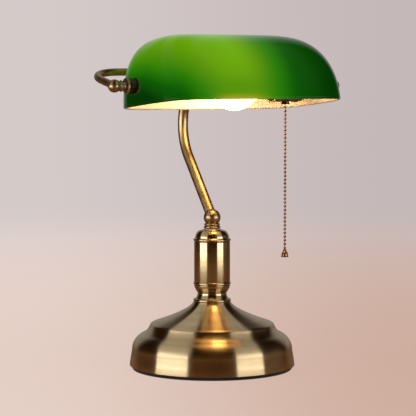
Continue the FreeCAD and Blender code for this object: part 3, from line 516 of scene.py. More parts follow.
def base_outline(inset):
    """The outline from the foot to the column seat, moved in by a wall."""
    points = [(foot_r - inset, foot_z), (foot_r - inset - 0.45 * SKIRT_TAPER, foot_z + 0.5 * (SKIRT_TOP - foot_z))]
    points += arc((foot_r - SKIRT_TAPER - SHOULDER_R, SKIRT_TOP), SHOULDER_R - inset, 0, SHOULDER_TURN, 22)
    ledge = (LEDGE_R - inset, LEDGE_Z - inset)
    hollow = (LEDGE_R + LEDGE_ROUND - inset, LEDGE_Z - 3.3 * LEDGE_ROUND - inset)
    points += pull_curve(points[-1], hollow, ledge, 10)[1:]
    cone_r = LEDGE_R - LEDGE_ROUND - inset
    cone_z = LEDGE_Z + LEDGE_ROUND / 2 - inset
    for k in range(30):
        t = k / 29
        radius = NECK_SEAT_R + (cone_r - NECK_SEAT_R) * (1 - t) ** CONE_CURVE
        points.append((radius, cone_z + (seat_z - inset - cone_z) * t))
    return points


outside = base_outline(0.0)
inside = base_outline(SHELL_WALL)
rod_way = high_of("centre_rod").x + 0.1
shell_outline = outside + [(rod_way, seat_z), (rod_way, seat_z - SHELL_WALL)] + inside[::-1]
base_shell = lathe("base_shell_spun", shell_outline, base_brass, steps=192, ease=0.5)

# %% [markdown]
# The cord leaves through a bush low at the rear of the skirt. The bush is a separate piece, so the
# sheet needs a real round hole behind it. A Boolean takes a cylinder away, once, and the plain result
# is kept as the mesh.

# %% The hole for the cord bush
def round_hole(piece, centre, axis, radius, length):
    """Cut a round hole through a piece and keep only the resulting mesh."""
    bm = bmesh.new()
    bmesh.ops.create_cone(bm, cap_ends=True, segments=48, radius1=radius, radius2=radius, depth=length)
    turn = Z_AXIS.rotation_difference(axis).to_matrix().to_4x4()
    bmesh.ops.transform(bm, matrix=Matrix.Translation(centre) @ turn, verts=bm.verts)
    mesh = bpy.data.meshes.new("hole_tool")
    bm.to_mesh(mesh)
    bm.free()
    tool = placed("hole_tool", mesh)
    cut = piece.modifiers.new("hole", "BOOLEAN")
    cut.operation, cut.solver, cut.object = "DIFFERENCE", "EXACT", tool
    graph = bpy.context.evaluated_depsgraph_get()
    result = bpy.data.meshes.new_from_object(piece.evaluated_get(graph))
    piece.modifiers.clear()
    piece.data = result
    bpy.data.objects.remove(tool)


GLAND_HOLE_R, HOLE_DEPTH = 5.0 * MM, 30.0 * MM
round_hole(base_shell, middle("cord_gland"), Y_AXIS, GLAND_HOLE_R, HOLE_DEPTH)
set_on(base_shell, "base", "base_shell")
pad_r, pad_top = high_of("base_pad").x, high_of("base_pad").z
pad_outline = [(0, 0), (pad_r, 0), (pad_r, pad_top), (0, pad_top)]
pad = lathe("base_pad_felt", pad_outline, plain["pad_felt"], steps=160, ease=0.9)
set_on(pad, "base", "base_pad")

# %% [markdown]
# ## The column
# Four turned pieces stand on the centre rod: a beaded collar, a flared cup, the straight tube and a
# domed cap. Each outline repeats the real profile with its bead, waist and groove, with more points
# than the exact solid needs, so that reflections run over the curves without facets.

# %% Collar, cup, tube and cap
collar_low, collar_high = low_of("base_collar").z, high_of("base_collar").z
bead_r, WAIST_R = high_of("base_collar").x, 15.8
collar = [(rod_way, collar_low)] + arc((bead_r - 1.6, collar_low + 1.6), 1.6, -90, 90, 17)
for k in range(1, 17):
    t = k / 16
    collar.append((WAIST_R + (bead_r - 2.2 - WAIST_R) * (1 - t) ** 2,
        collar_low + 3.2 + (collar_high - collar_low - 3.2) * t))
collar.append((rod_way, collar_high))
set_on(lathe("column_collar", collar, column_brass), "base", "base_collar")

tube_r, tube_low, tube_high = high_of("column_tube").x, low_of("column_tube").z, high_of("column_tube").z
cup_low, CUP_WALL = low_of("column_cup").z, 1.1
cup = [(rod_way, cup_low)]
for k in range(17):
    t = k / 16
    cup.append((WAIST_R + (tube_r - WAIST_R) * math.sin(QUARTER * t), cup_low + (tube_low - cup_low - 3.6) * t))
cup += [p for p in arc((tube_r - 0.9, tube_low - 1.8), 1.8, -75, 75, 17) if p[0] > tube_r - 0.5]
cup += [(tube_r - 0.25, tube_low), (tube_r - CUP_WALL, tube_low), (tube_r - CUP_WALL, high_of("column_cup").z)]
cup += [(tube_r - CUP_WALL - 3, high_of("column_cup").z), (tube_r - CUP_WALL - 3, tube_low - 2),
    (rod_way, tube_low - 2)]
set_on(lathe("column_cup_flared", cup, column_brass), "base", "column_cup")

tube_outline = [(tube_r, tube_low), (tube_r, tube_high), (tube_r - 1, tube_high), (tube_r - 1, tube_low)]
set_on(lathe("column_barrel", tube_outline, column_brass, steps=128), "base", "column_tube")

cap_high, CAP_BEAD_H, CAP_TOP_R = high_of("column_cap").z, 4.2, 10.5
cap_bead = high_of("column_cap").x
cap = [(tube_r - 0.3, tube_high)] + arc((cap_bead - 1.7, tube_high + CAP_BEAD_H / 2), 1.7, -80, 80, 17)
dome_low = tube_high + CAP_BEAD_H
for k in range(25):
    t = k / 24
    radius = CAP_TOP_R + (tube_r - 1.2 - CAP_TOP_R) * max(math.cos(QUARTER * t), 0) ** 0.8
    cap.append((radius, dome_low + (cap_high - dome_low - 0.8) * math.sin(QUARTER * t)))
cap += [(CAP_TOP_R - 0.5, cap_high), (4.0, cap_high), (4.0, tube_high), (tube_r - 4.1, tube_high)]
cap += [(tube_r - 4.1, low_of("column_cap").z), (tube_r - 1.1, low_of("column_cap").z), (tube_r - 1.1, tube_high)]
set_on(lathe("column_cap_dome", cap, column_brass), "base", "column_cap")

# %% [markdown]
# ## The swivel
# A ringed neck turns on the column's cap and carries a ball. The arm's tube is set into the ball.
# The neck is two small beads with a groove between. The ball is cut flat where it sits on the neck.

# %% Neck and ball
BORE_R = 4.05
neck_low, neck_high = low_of("swivel_neck").z, high_of("swivel_neck").z
ring = (neck_high - neck_low) / 4
neck = [(BORE_R, neck_low), (8.0, neck_low)] + arc((9.0 - ring * 0.6, neck_low + ring), ring * 0.8, -80, 80, 13)
neck += [(7.6, neck_low + 2 * ring)] + arc((9.0 - ring * 0.8, neck_high - ring), ring * 0.7, -80, 80, 13)
neck += [(7.3, neck_high), (BORE_R, neck_high)]
set_on(lathe("swivel_neck_ringed", neck, tube_brass), "arm", "swivel_neck")

BALL_R = high_of("swivel_ball").x
ball_z = high_of("swivel_ball").z - BALL_R
flat = math.degrees(math.asin((neck_high - ball_z) / BALL_R))
ball = [(0, neck_high)] + arc((0, ball_z), BALL_R, flat, 90, 40)
ball[-1] = (0, ball_z + BALL_R)
set_on(lathe("swivel_ball_turned", ball, tube_brass, ease=0.15), "arm", "swivel_ball")

# %% [markdown]
# ## The bent tubes
# The arm is one brass tube with a single bend, and the yoke is one thin rod with a bend at each side.
# Both follow a simple rule: straight runs through a few corners, rounded by a bending tool of one
# radius. Geometry Nodes can state exactly that. A line through the corners goes into Fillet Curve,
# and Curve to Mesh carries a circle along it. The tube's radius, the bend's radius and the finish are
# inputs of the tree, so the same tree makes both pieces. A small builder makes every tree of this
# lamp from lists of its inputs, its nodes and its links.

# %% A builder of trees, and the tree that bends a tube
def make_tree(name, numbers, nodes, values, links, modes=()):
    """A Geometry Nodes tree from lists: named inputs, nodes, their fixed values, and the links.

    Every tree takes a geometry and a finish, and ends by making copies real and painting them.
    """
    tree = bpy.data.node_groups.new(name, "GeometryNodeTree")
    socket = tree.interface.new_socket
    socket("Geometry", in_out="INPUT", socket_type="NodeSocketGeometry")
    for label, value in numbers.items():
        kind = "NodeSocketInt" if isinstance(value, int) else "NodeSocketFloat"
        socket(label, in_out="INPUT", socket_type=kind).default_value = value
    socket("Finish", in_out="INPUT", socket_type="NodeSocketMaterial")
    socket("Geometry", in_out="OUTPUT", socket_type="NodeSocketGeometry")
    made = {"given": tree.nodes.new("NodeGroupInput"), "out": tree.nodes.new("NodeGroupOutput")}
    made["real"] = tree.nodes.new("GeometryNodeRealizeInstances")
    made["paint"] = tree.nodes.new("GeometryNodeSetMaterial")
    for label, kind in nodes.items():
        made[label] = tree.nodes.new(kind)
    for label, mode in modes:
        made[label].mode = mode
    for label, inlet, value in values:
        made[label].inputs[inlet].default_value = value
    ending = [("real", 0, "paint", "Geometry"), ("given", "Finish", "paint", "Material"), ("paint", 0, "out", 0)]
    for start, outlet, end, inlet in links + ending:
        tree.links.new(made[start].outputs[outlet], made[end].inputs[inlet])
    return tree


def grown(name, start_data, tree, material, sharp=35, **inputs):
    """Run a tree on a curve or mesh and keep the result as a plain mesh at the origin."""
    source = placed(name + "_source", start_data)
    run = source.modifiers.new("grow", "NODES")
    run.node_group = tree
    for item in tree.interface.items_tree:
        if item.item_type == "SOCKET" and item.in_out == "INPUT":
            label = item.name.replace(" ", "_")
            if label in inputs:
                run[item.identifier] = inputs[label]
            if item.name == "Finish":
                run[item.identifier] = material
    source.update_tag()
    graph = bpy.context.evaluated_depsgraph_get()
    mesh = bpy.data.meshes.new_from_object(source.evaluated_get(graph))
    bpy.data.objects.remove(source)
    mesh.name = name
    mesh.materials.clear()
    mesh.materials.append(material)
    bm = bmesh.new()
    bm.from_mesh(mesh)
    bmesh.ops.remove_doubles(bm, verts=bm.verts, dist=1e-7)
    bmesh.ops.recalc_face_normals(bm, faces=bm.faces)
    for face in bm.faces:
        face.material_index = 0
    bm.to_mesh(mesh)
    bm.free()
    piece = placed(name, mesh)
    mesh.set_sharp_from_angle(angle=math.radians(sharp))
    return piece


def run_through(name, points):
    """A plain line through a few corners, as curve data."""
    curve = bpy.data.curves.new(name, "CURVE")
    curve.dimensions = "3D"
    spline = curve.splines.new("POLY")
    spline.points.add(len(points) - 1)
    for spot, point in zip(spline.points, points):
        spot.co = (*point, 1.0)
    return curve


bent_tube = make_tree(
    "bent_tube",
    {"Tube radius": 0.005, "Bend radius": 0.05},
    {"fillet": "GeometryNodeFilletCurve", "circle": "GeometryNodeCurvePrimitiveCircle",
     "sweep": "GeometryNodeCurveToMesh", "smooth": "GeometryNodeSetShadeSmooth"},
    [("fillet", "Count", 32), ("circle", "Resolution", 40), ("sweep", "Fill Caps", True)],
    [("given", "Geometry", "fillet", "Curve"), ("given", "Bend radius", "fillet", "Radius"),
     ("given", "Tube radius", "circle", "Radius"), ("fillet", 0, "sweep", "Curve"),
     ("circle", "Curve", "sweep", "Profile Curve"), ("sweep", 0, "smooth", 0), ("smooth", 0, "real", 0)],
    modes=[("fillet", "POLY")],
)

# %% Corners of the arm and of the yoke
ARM_LEAN, ARM_LOWER, ARM_BEND = math.radians(38.0), 124.0 * MM, 58.0 * MM
ARM_UPPER_LEAN, ARM_UPPER = math.radians(32.7), 72.8 * MM
ball_centre = Vector((0, 0, ball_z * MM))
arm_up = Vector((0, math.sin(ARM_LEAN), math.cos(ARM_LEAN)))
arm_over = Vector((0, -math.sin(ARM_UPPER_LEAN), math.cos(ARM_UPPER_LEAN)))
arm_corner = ball_centre + arm_up * ARM_LOWER
yoke_middle = arm_corner + arm_over * ARM_UPPER
arm_line = [ball_centre + arm_up * 4.6 * MM, arm_corner, yoke_middle - arm_over * 5.0 * MM]
arm = grown("arm_bent_tube", run_through("arm_line", arm_line), bent_tube, tube_brass,
    Tube_radius=5.75 * MM, Bend_radius=ARM_BEND)
set_on(arm, "arm", "arm_tube")

YOKE_DROP, YOKE_BEND, ROD_R = math.radians(12.0), 44.0 * MM, 4.0 * MM
yoke_half = (high_of("right_end_ball").x - 6.9) * MM
forward = Vector((0, -math.cos(YOKE_DROP), -math.sin(YOKE_DROP)))
yoke_reach = (tilt_axis - yoke_middle).length
rod_out = forward * (yoke_reach - 4.5 * MM)
side = X_AXIS * yoke_half
yoke_line = [yoke_middle - side + rod_out, yoke_middle - side, yoke_middle + side, yoke_middle + side + rod_out]
yoke = grown("yoke_bent_rod", run_through("yoke_line", yoke_line), bent_tube, tube_brass,
    Tube_radius=ROD_R, Bend_radius=YOKE_BEND)
set_on(yoke, "arm", "yoke_rod")
print("yoke middle", [round(v / MM, 1) for v in yoke_middle], "reach", round(yoke_reach / MM, 2))

# %% [markdown]
# ## The hub where the arm meets the yoke
# A short sleeve is brazed on the yoke and a neck of the same size takes the arm. It is two turned
# pieces that meet inside each other, so they are made as two lathed shapes and joined in one mesh.

# %% Hub
def joined(name, parts, sharp=35):
    """One mesh object out of several, with their finishes."""
    bm = bmesh.new()
    finishes = []
    for part in parts:
        start = len(bm.faces)
        bm.from_mesh(part.data)
        bm.faces.ensure_lookup_table()
        finish = part.data.materials[0]
        if finish not in finishes:
            finishes.append(finish)
        for face in bm.faces[start:]:
            face.material_index = finishes.index(finish)
        bpy.data.objects.remove(part)
    mesh = bpy.data.meshes.new(name)
    bm.to_mesh(mesh)
    bm.free()
    return piece_from(mesh, name, finishes, sharp)


HUB_R, HUB_HALF = 7.4, 10.0
sleeve = [(3.9, -HUB_HALF), (HUB_R - 1, -HUB_HALF), (HUB_R, -HUB_HALF + 1), (HUB_R, HUB_HALF - 1),
    (HUB_R - 1, HUB_HALF), (3.9, HUB_HALF)]
sleeve_piece = lathe("hub_sleeve", sleeve, tube_brass, yoke_middle, X_AXIS, ease=0.4)
neck_outline = [(5.7, 0.5), (HUB_R, 0.5), (HUB_R, 15.0), (5.7, 15.0)]
neck_piece = lathe("hub_neck", neck_outline, tube_brass, yoke_middle, -arm_over, ease=0.5)
set_on(joined("yoke_hub_brazed", [sleeve_piece, neck_piece]), "arm", "yoke_hub")

# %% [markdown]
# ## Hardware at the shade's ends
# On each side the yoke's rod ends in a ball. From the ball inwards come a ringed neck, a round lock
# ring, a knurled thumb nut and the washers on the glass. All are turned about the tilt axis. Distances
# are measured outwards from the lamp's middle, and the two sides mirror each other.

# %% End balls and lock rings
END_BALL_R, END_NECK_R, END_RING_R, END_RING_T = 6.9, 5.0, 6.0, 1.6
half_mm = yoke_half / MM
ball_low = low_of("right_end_ball").x
ring_mid = ball_low + END_RING_T
neck_meets = math.degrees(math.asin(END_NECK_R / END_BALL_R))
end_ball = [(0, ball_low), (END_NECK_R, ball_low), (END_NECK_R, ring_mid - 0.8)]
end_ball += arc((END_RING_R - 0.8, ring_mid), 0.8, -90, 90, 11) + [(END_NECK_R, ring_mid + 0.9)]
end_ball += [(END_BALL_R * math.sin(a), half_mm - END_BALL_R * math.cos(a)) for a in
             [math.radians(neck_meets + (180 - neck_meets) * k / 30) for k in range(31)]]
end_ball[-1] = (0, half_mm + END_BALL_R)
ring_low, ring_high = low_of("right_lock_ring").x, high_of("right_lock_ring").x
ring_r = high_of("right_lock_ring").z - tilt_axis.z / MM
lock_ring = [(4.0, ring_low)] + arc((ring_r - 1.4, (ring_low + ring_high) / 2), 1.4, -90, 90, 17)
lock_ring += [(4.0, ring_high)]
for hand, way in (("left", -1), ("right", 1)):
    piece = lathe(f"{hand}_ball_end", end_ball, tube_brass, tilt_axis, X_AXIS * way, steps=72)
    set_on(piece, "arm", f"{hand}_end_ball")
    piece = lathe(f"{hand}_ring_lock", lock_ring, tube_brass, tilt_axis, X_AXIS * way, steps=72)
    set_on(piece, "arm", f"{hand}_lock_ring")

# %% [markdown]
# A thumb nut is knurled so that fingers can grip it. A knurl is one small ridge repeated round the rim. Geometry
# Nodes place a round bar, lying along the axis and lifted to the nut's middle, on each point of a circle, and make
# the copies real. The count and the sizes are inputs of the tree.

# %% Knurled thumb nuts
knurled_rim = make_tree(
    "knurled_rim",
    {"Ridges": 24, "Rim radius": 0.0075, "Ridge radius": 0.0006, "Ridge length": 0.006, "Ridge start": 0.0},
    {"rim": "GeometryNodeMeshCircle", "bar": "GeometryNodeMeshCylinder", "lift": "GeometryNodeTransform",
     "copies": "GeometryNodeInstanceOnPoints", "join": "GeometryNodeJoinGeometry",
     "offset": "ShaderNodeCombineXYZ"},
    [("bar", "Vertices", 12)],
    [("given", "Ridges", "rim", "Vertices"), ("given", "Rim radius", "rim", "Radius"),
     ("given", "Ridge radius", "bar", "Radius"), ("given", "Ridge length", "bar", "Depth"),
     ("given", "Ridge start", "offset", 2), ("bar", "Mesh", "lift", "Geometry"),
     ("offset", 0, "lift", "Translation"), ("rim", "Mesh", "copies", "Points"),
     ("lift", 0, "copies", "Instance"), ("copies", 0, "join", 0), ("given", "Geometry", "join", 0),
     ("join", 0, "real", 0)],
)
nut_low, nut_high = low_of("right_thumb_nut").x, high_of("right_thumb_nut").x
nut_r = high_of("right_thumb_nut").z - tilt_axis.z / MM
core_r = nut_r - 0.45
nut = [(BORE_R, nut_low), (core_r - 0.9, nut_low), (core_r, nut_low + 0.9), (core_r, nut_high - 0.9),
    (core_r - 0.9, nut_high), (BORE_R, nut_high)]
for hand, way in (("left", -1), ("right", 1)):
    core = lathe(f"{hand}_nut_core", nut, dark_bronze, steps=96)
    core_mesh = core.data
    bpy.data.objects.remove(core)
    piece = grown(
        f"{hand}_nut_knurled", core_mesh, knurled_rim, dark_bronze, sharp=30, Ridges=24,
        Rim_radius=(nut_r - 0.62) * MM, Ridge_radius=0.6 * MM,
        Ridge_length=(nut_high - nut_low - 2.0) * MM, Ridge_start=(nut_low + nut_high) / 2 * MM)
    turn = Z_AXIS.rotation_difference(X_AXIS * way).to_matrix().to_4x4()
    piece.data.transform(Matrix.Translation(tilt_axis) @ turn)
    set_on(piece, f"{hand}_nut", f"{hand}_thumb_nut")

# %% [markdown]
# ## The glass shade
# The shade is blown in a mould: a long trough with rounded corners, open below. Its shape follows a
# rule. At each height the outline is a squared ellipse about a ridge line, deeper in front of the
# ridge than behind it, and each face closes towards the top on its own curve. The mesh repeats that
# rule at many heights for the outer face and, one glass thickness in, for the inner face, with a
# rounded rim between them. The outer casing is green and the inner one is white opal.

# %% The rule of the shade
SHADE_L, SHADE_W, SHADE_H, GLASS_T = 225.0, 133.0, 76.0, 3.6
SHADE_TILT, RIDGE_BACK, PIVOT_BACK, PIVOT_UP = 5.5, 16.0, 11.0, 21.0
END_CURVE, FRONT_CURVE, REAR_CURVE = (6.2, 2.5), (2.2, 2.0), (3.2, 2.3)


def closing(level, curve):
    """Share of a half width that is left at a share of the height."""
    roundness, flare = curve
    return max(1 - level ** flare, 0.0) ** (1 / roundness)


def evenly(path, shares, across=1.0, up=1.0):
    """Points at the given shares of a path's length; across and up scale the length's two parts."""
    run = [0.0]
    for p, q in zip(path, path[1:]):
        run.append(run[-1] + math.hypot((q[0] - p[0]) * across, (q[1] - p[1]) * up))
    points, k = [], 0
    for goal in [run[-1] * share for share in shares]:
        while run[k + 1] < goal:
            k += 1
        part = (goal - run[k]) / max(run[k + 1] - run[k], 1e-9)
        p, q = path[k], path[k + 1]
        points.append((p[0] + (q[0] - p[0]) * part, p[1] + (q[1] - p[1]) * part))
    return points


def quarter(half, depth, nx, ny, count):
    """Evenly spaced points on a squared quarter ellipse, from (half, 0) towards (0, depth)."""
    angles = [QUARTER * k / 300 for k in range(301)]
    dense = [(half * max(math.cos(a), 0) ** (2 / nx), depth * math.sin(a) ** (2 / ny)) for a in angles]
    return evenly(dense, [i / count for i in range(count)])


AROUND = 44


def shade_ring(level, inset, height):
    """One closed outline of the shade, in its own frame, rim centre at the origin."""
    half = (SHADE_L / 2 - inset) * closing(level, END_CURVE)
    fore_depth = (SHADE_W / 2 + RIDGE_BACK - inset) * closing(level, FRONT_CURVE)
    back_depth = (SHADE_W / 2 - RIDGE_BACK - inset) * closing(level, REAR_CURVE)
    nx, ny = 9.3 + (5.0 - 9.3) * level, 2.8 + (3.2 - 2.8) * level
    back = quarter(half, back_depth, nx, ny, AROUND)
    fore = quarter(half, fore_depth, nx, ny, AROUND)
    flat = back + [(0, back_depth)] + [(-x, y) for x, y in back[:0:-1]]
    flat += [(-x, -y) for x, y in fore] + [(0, -fore_depth)] + [(x, -y) for x, y in fore[:0:-1]]
    return [Vector((x, RIDGE_BACK + y, height * level)) for x, y in flat]


def shade_levels(start, count):
    """Heights that step evenly along the shade's end outline, almost up to its top."""
    heights = [math.sin(QUARTER * k / 1500) ** (2 / END_CURVE[1]) for k in range(1501)]
    path = [(start, 1.0)] + [(h, closing(h, END_CURVE)) for h in heights if h > start]
    shares = [0.995 * i / (count - 1) for i in range(count)]
    return [point[0] for point in evenly(path, shares, SHADE_H, SHADE_L / 2)]


def make_shade(green, opal):
    rim_r = GLASS_T / 2
    outer = [shade_ring(s, 0.0, SHADE_H) for s in shade_levels(rim_r / SHADE_H, 84)]
    inner = [shade_ring(s, GLASS_T, SHADE_H - GLASS_T) for s in shade_levels(rim_r / (SHADE_H - GLASS_T), 60)]
    rim = []
    for k in range(1, 8):
        a = math.pi * k / 8
        share, drop = (1 - math.cos(a)) / 2, math.sin(a) * rim_r
        rim.append([p.lerp(q, share) - Vector((0, 0, drop)) for p, q in zip(outer[0], inner[0])])
    rings = outer[::-1] + rim + inner
    bm = bmesh.new()
    rows = [[bm.verts.new(p) for p in points] for points in rings]
    around = len(rows[0])
    green_rows = len(outer) - 1 + 4
    for r, (one, two) in enumerate(zip(rows, rows[1:])):
        for k in range(around):
            m = (k + 1) % around
            face = bm.faces.new((one[k], two[k], two[m], one[m]))
            face.material_index = 0 if r < green_rows else 1
    for row, index in ((rows[0], 0), (rows[-1], 1)):
        top = bm.verts.new(sum((v.co for v in row), Vector()) / around)
        for k in range(around):
            face = bm.faces.new((row[k], row[(k + 1) % around], top))
            face.material_index = index
    bmesh.ops.recalc_face_normals(bm, faces=bm.faces)
    hang = Matrix.Translation(tilt_axis) @ Matrix.Rotation(math.radians(-SHADE_TILT), 4, "X")
    hang = hang @ Matrix.Scale(MM, 4) @ Matrix.Translation((0, -PIVOT_BACK, -PIVOT_UP))
    bmesh.ops.transform(bm, matrix=hang, verts=bm.verts)
    mesh = bpy.data.meshes.new("shade_cased_glass")
    bm.to_mesh(mesh)
    bm.free()
    return piece_from(mesh, "shade_cased_glass", [green, opal], sharp=60)


# %% [markdown]
# The green casing is thin over white opal, and the lamp inside is lit, so the glass glows. How much
# light comes through depends on where the lamp is: it is strong around the bulb, reaches further up
# high than low down, and falls off sooner on the side of the lampholder. The network below works in a
# frame that hangs with the shade, builds that distance, and turns it into a glow from yellow-green to
# bottle green. Glass seen edge-on mirrors the pale room whatever its colour, so the glow gives way to
# a pale grey towards the outline. The white opal inside glows most round the bulb and fades from it.

# %% Green casing and white opal
# metres along the shade from its middle: start, end and weight of the fall to the right of the bulb
GLOW_RIGHT = ((-0.028, 0.007, 0.62), (0.007, 0.041, 0.46), (0.041, 0.088, 0.22))
GLOW_LEFT = (-0.026, -0.100)
GLOW_END = 1.3
GLOW_STOPS = ((0.0, (0.155, 0.435, 0.002)), (0.25, (0.146, 0.370, 0.003)), (0.50, (0.092, 0.284, 0.003)),
              (0.75, (0.027, 0.205, 0.002)), (1.0, (0.0046, 0.103, 0.001)), (GLOW_END, (0.0010, 0.029, 0.0008)))


def make_green_glass():
    material, tree, shader, place = start_material(
        "glass_green_cased", Roughness=0.14, IOR=1.45, Specular_IOR_Level=0.05)
    local = centred(tree, place, tuple(tilt_axis), (math.radians(-SHADE_TILT), 0, 0))
    x, y, z = axes(tree, local)
    high = span(tree, z, -0.021, 0.055)
    right = [times(tree, span(tree, x, start, end), weight) for start, end, weight in GLOW_RIGHT]
    left = times(tree, span(tree, x, *GLOW_LEFT), maths(tree, "MULTIPLY_ADD", high, -0.92, 1.12))
    sides = plus(tree, plus(tree, right[0], right[1]), plus(tree, right[2], left))
    under = times(tree, span(tree, high, 0.66, 0.20), 0.44)
    cubed = plus(tree, maths(tree, "POWER", sides, 3.0), maths(tree, "POWER", under, 3.0))
    on_end = times(tree, span(tree, x, -0.099, -0.111), span(tree, y, -0.062, -0.015))
    end = times(tree, on_end, maths(tree, "MAXIMUM", maths(tree, "MULTIPLY_ADD", high, -0.4, 0.34), 0.0))
    cloud = noise(tree, place, 26.0, 2.0, 0.5)
    uneven = times(tree, maths(tree, "SUBTRACT", cloud, 0.5), 0.08)
    reach = plus(tree, maths(tree, "POWER", cubed, 1 / 3), plus(tree, end, uneven))
    far = maths(tree, "MAXIMUM", reach, 0.0)
    ramp = tree.nodes.new("ShaderNodeValToRGB")
    stops = ramp.color_ramp.elements
    stops[0].position, stops[1].position = 0.0, 1.0
    for k, (at, colour) in enumerate(GLOW_STOPS):
        between = 0 < k < len(GLOW_STOPS) - 1
        stop = stops.new(at / GLOW_END) if between else stops[0 if k == 0 else -1]
        stop.color = rgb(*colour)
    wire(tree, ramp.inputs[0], maths(tree, "DIVIDE", far, GLOW_END, clamp=True))
    # painted glow: a yellow strip along the front rim beside the bulb
    centre_gap = maths(tree, "ABSOLUTE", plus(tree, x, 0.032))
    by_rim = times(tree, span(tree, high, 0.11, 0.0, smooth=True),
        span(tree, centre_gap, 0.040, 0.008, smooth=True))
    front_only = times(tree, by_rim, span(tree, y, -0.03, -0.06))
    glow = blend_colours(tree, front_only, ramp.outputs[0], rgb(0.34, 0.36, 0.012))
    edge_on = tree.nodes.new("ShaderNodeLayerWeight").outputs["Facing"]
    mirrored = times(tree, span(tree, edge_on, 0.62, 0.96), 0.42)
    wire(tree, shader.inputs["Emission Color"], blend_colours(tree, mirrored, glow, rgb(0.36, 0.38, 0.35)))
    shader.inputs["Emission Strength"].default_value = 0.95
    seed = noise(tree, place, 700.0, 1.0, 0.5)
    speck = span(tree, seed, 0.70, 0.76)
    body = blend_colours(tree, cloud, rgb(0.0005, 0.014, 0.001), rgb(0.001, 0.022, 0.001))
    wire(tree, shader.inputs["Base Color"],
        blend_colours(tree, times(tree, speck, 0.3), body, rgb(0.05, 0.16, 0.05)))
    relief(tree, shader, noise(tree, place, 22.0, 2.0, 0.4), 0.10, 0.0005)
    return material


def make_opal():
    material, tree, shader, place = start_material("glass_white_opal", IOR=1.5, Coat_Weight=0.3, Coat_Roughness=0.1)
    cloud = noise(tree, place, 30.0, 3.0, 0.5)
    wire(tree, shader.inputs["Base Color"],
        blend_colours(tree, cloud, rgb(0.78, 0.67, 0.53), rgb(0.84, 0.74, 0.60)))
    gap = tree.nodes.new("ShaderNodeVectorMath")
    gap.operation = "DISTANCE"
    wire(tree, gap.inputs[0], place)
    gap.inputs[1].default_value = tuple(bulb_centre)
    near_bulb = span(tree, gap.outputs["Value"], 0.085, 0.040, 0.04, 0.6, smooth=True)
    wire(tree, shader.inputs["Emission Color"],
        blend_colours(tree, cloud, rgb(1.0, 0.70, 0.36), rgb(1.0, 0.76, 0.44)))
    wire(tree, shader.inputs["Emission Strength"], near_bulb)
    wire(tree, shader.inputs["Roughness"], span(tree, cloud, 0.3, 0.7, 0.28, 0.36))
    relief(tree, shader, cloud, 0.08, 0.0006)
    return material


shade = make_shade(make_green_glass(), make_opal())
set_on(shade, "shade", "shade_glass")

# %% [markdown]
# ## The bulb
# A frosted globe bulb screws into the holder and lies along the shade. Frosting hides what is inside,
# so the glass itself is the light: a closed turned shell that glows, a little less towards its neck.

# %% The globe
BULB_R, BULB_NECK_R, BULB_WALL = globe_r, 12.2, 0.8
bulb_x, neck_end = bulb_centre.x / MM, high_of("bulb_glass").x


def bulb_outline(inset):
    start = arc((0, bulb_x), BULB_R - inset, -90, 42, 60)
    start[0] = (0, bulb_x - BULB_R + inset)
    start_r, start_x = start[-1]
    for k in range(1, 21):
        t = k / 20
        ease = 1 - (1 - t) ** 2.2
        start.append((start_r + (BULB_NECK_R - inset - start_r) * ease, start_x + (neck_end - start_x) * t))
    return start


def make_frosted():
    material, tree, shader, place = start_material("glass_frosted_lit", Roughness=0.45, IOR=1.5)
    grain = noise(tree, place, 500.0, 2.0, 0.5)
    neck_mask = span(tree, axes(tree, place)[0], bulb_centre.x + 0.016, bulb_centre.x + 0.042, smooth=True)
    hot = blend_colours(tree, neck_mask, rgb(1.0, 0.66, 0.28), rgb(0.75, 0.42, 0.15))
    wire(tree, shader.inputs["Base Color"],
        blend_colours(tree, grain, rgb(0.86, 0.85, 0.82), rgb(0.92, 0.91, 0.88)))
    wire(tree, shader.inputs["Emission Color"], hot)
    shader.inputs["Emission Strength"].default_value = 12.0
    relief(tree, shader, grain, 0.1)
    return material


bulb_line = bulb_outline(0.0) + bulb_outline(BULB_WALL)[::-1]
globe = lathe("bulb_globe", bulb_line, make_frosted(), tilt_axis, X_AXIS, steps=96, ease=0.2)
set_on(globe, "bulb", "bulb_glass")

# %% [markdown]
# ## The lampholder
# The holder is a thin pressed shell with a rolled mouth and a cupped cap that screws on the pipe.
# Under it hangs a small bell-mouthed guide that the switch chain runs through.

# %% Shell, cap and chain guide
HOLDER_R, SHEET = 17.5, 0.8
mouth_x, shell_end = low_of("holder_shell").x, high_of("holder_shell").x
roll = [(a, b) for a, b in arc((HOLDER_R - 0.2, mouth_x + 1.4), 1.2, -90, 90, 17) if a > HOLDER_R]
shell_line = [(HOLDER_R - SHEET, mouth_x), (HOLDER_R, mouth_x)] + roll
shell_line += [(HOLDER_R, shell_end), (HOLDER_R - SHEET, shell_end)]
holder = lathe("holder_shell_pressed", shell_line, tube_brass, tilt_axis, X_AXIS, ease=0.2)
guide_middle = middle("chain_guide")
GUIDE_HOLE_R, GUIDE_HOLE_DEPTH = 3.6 * MM, 12.0 * MM
round_hole(holder, guide_middle + Z_AXIS * 2.0 * MM, Z_AXIS, GUIDE_HOLE_R, GUIDE_HOLE_DEPTH)
set_on(holder, "arm", "holder_shell")

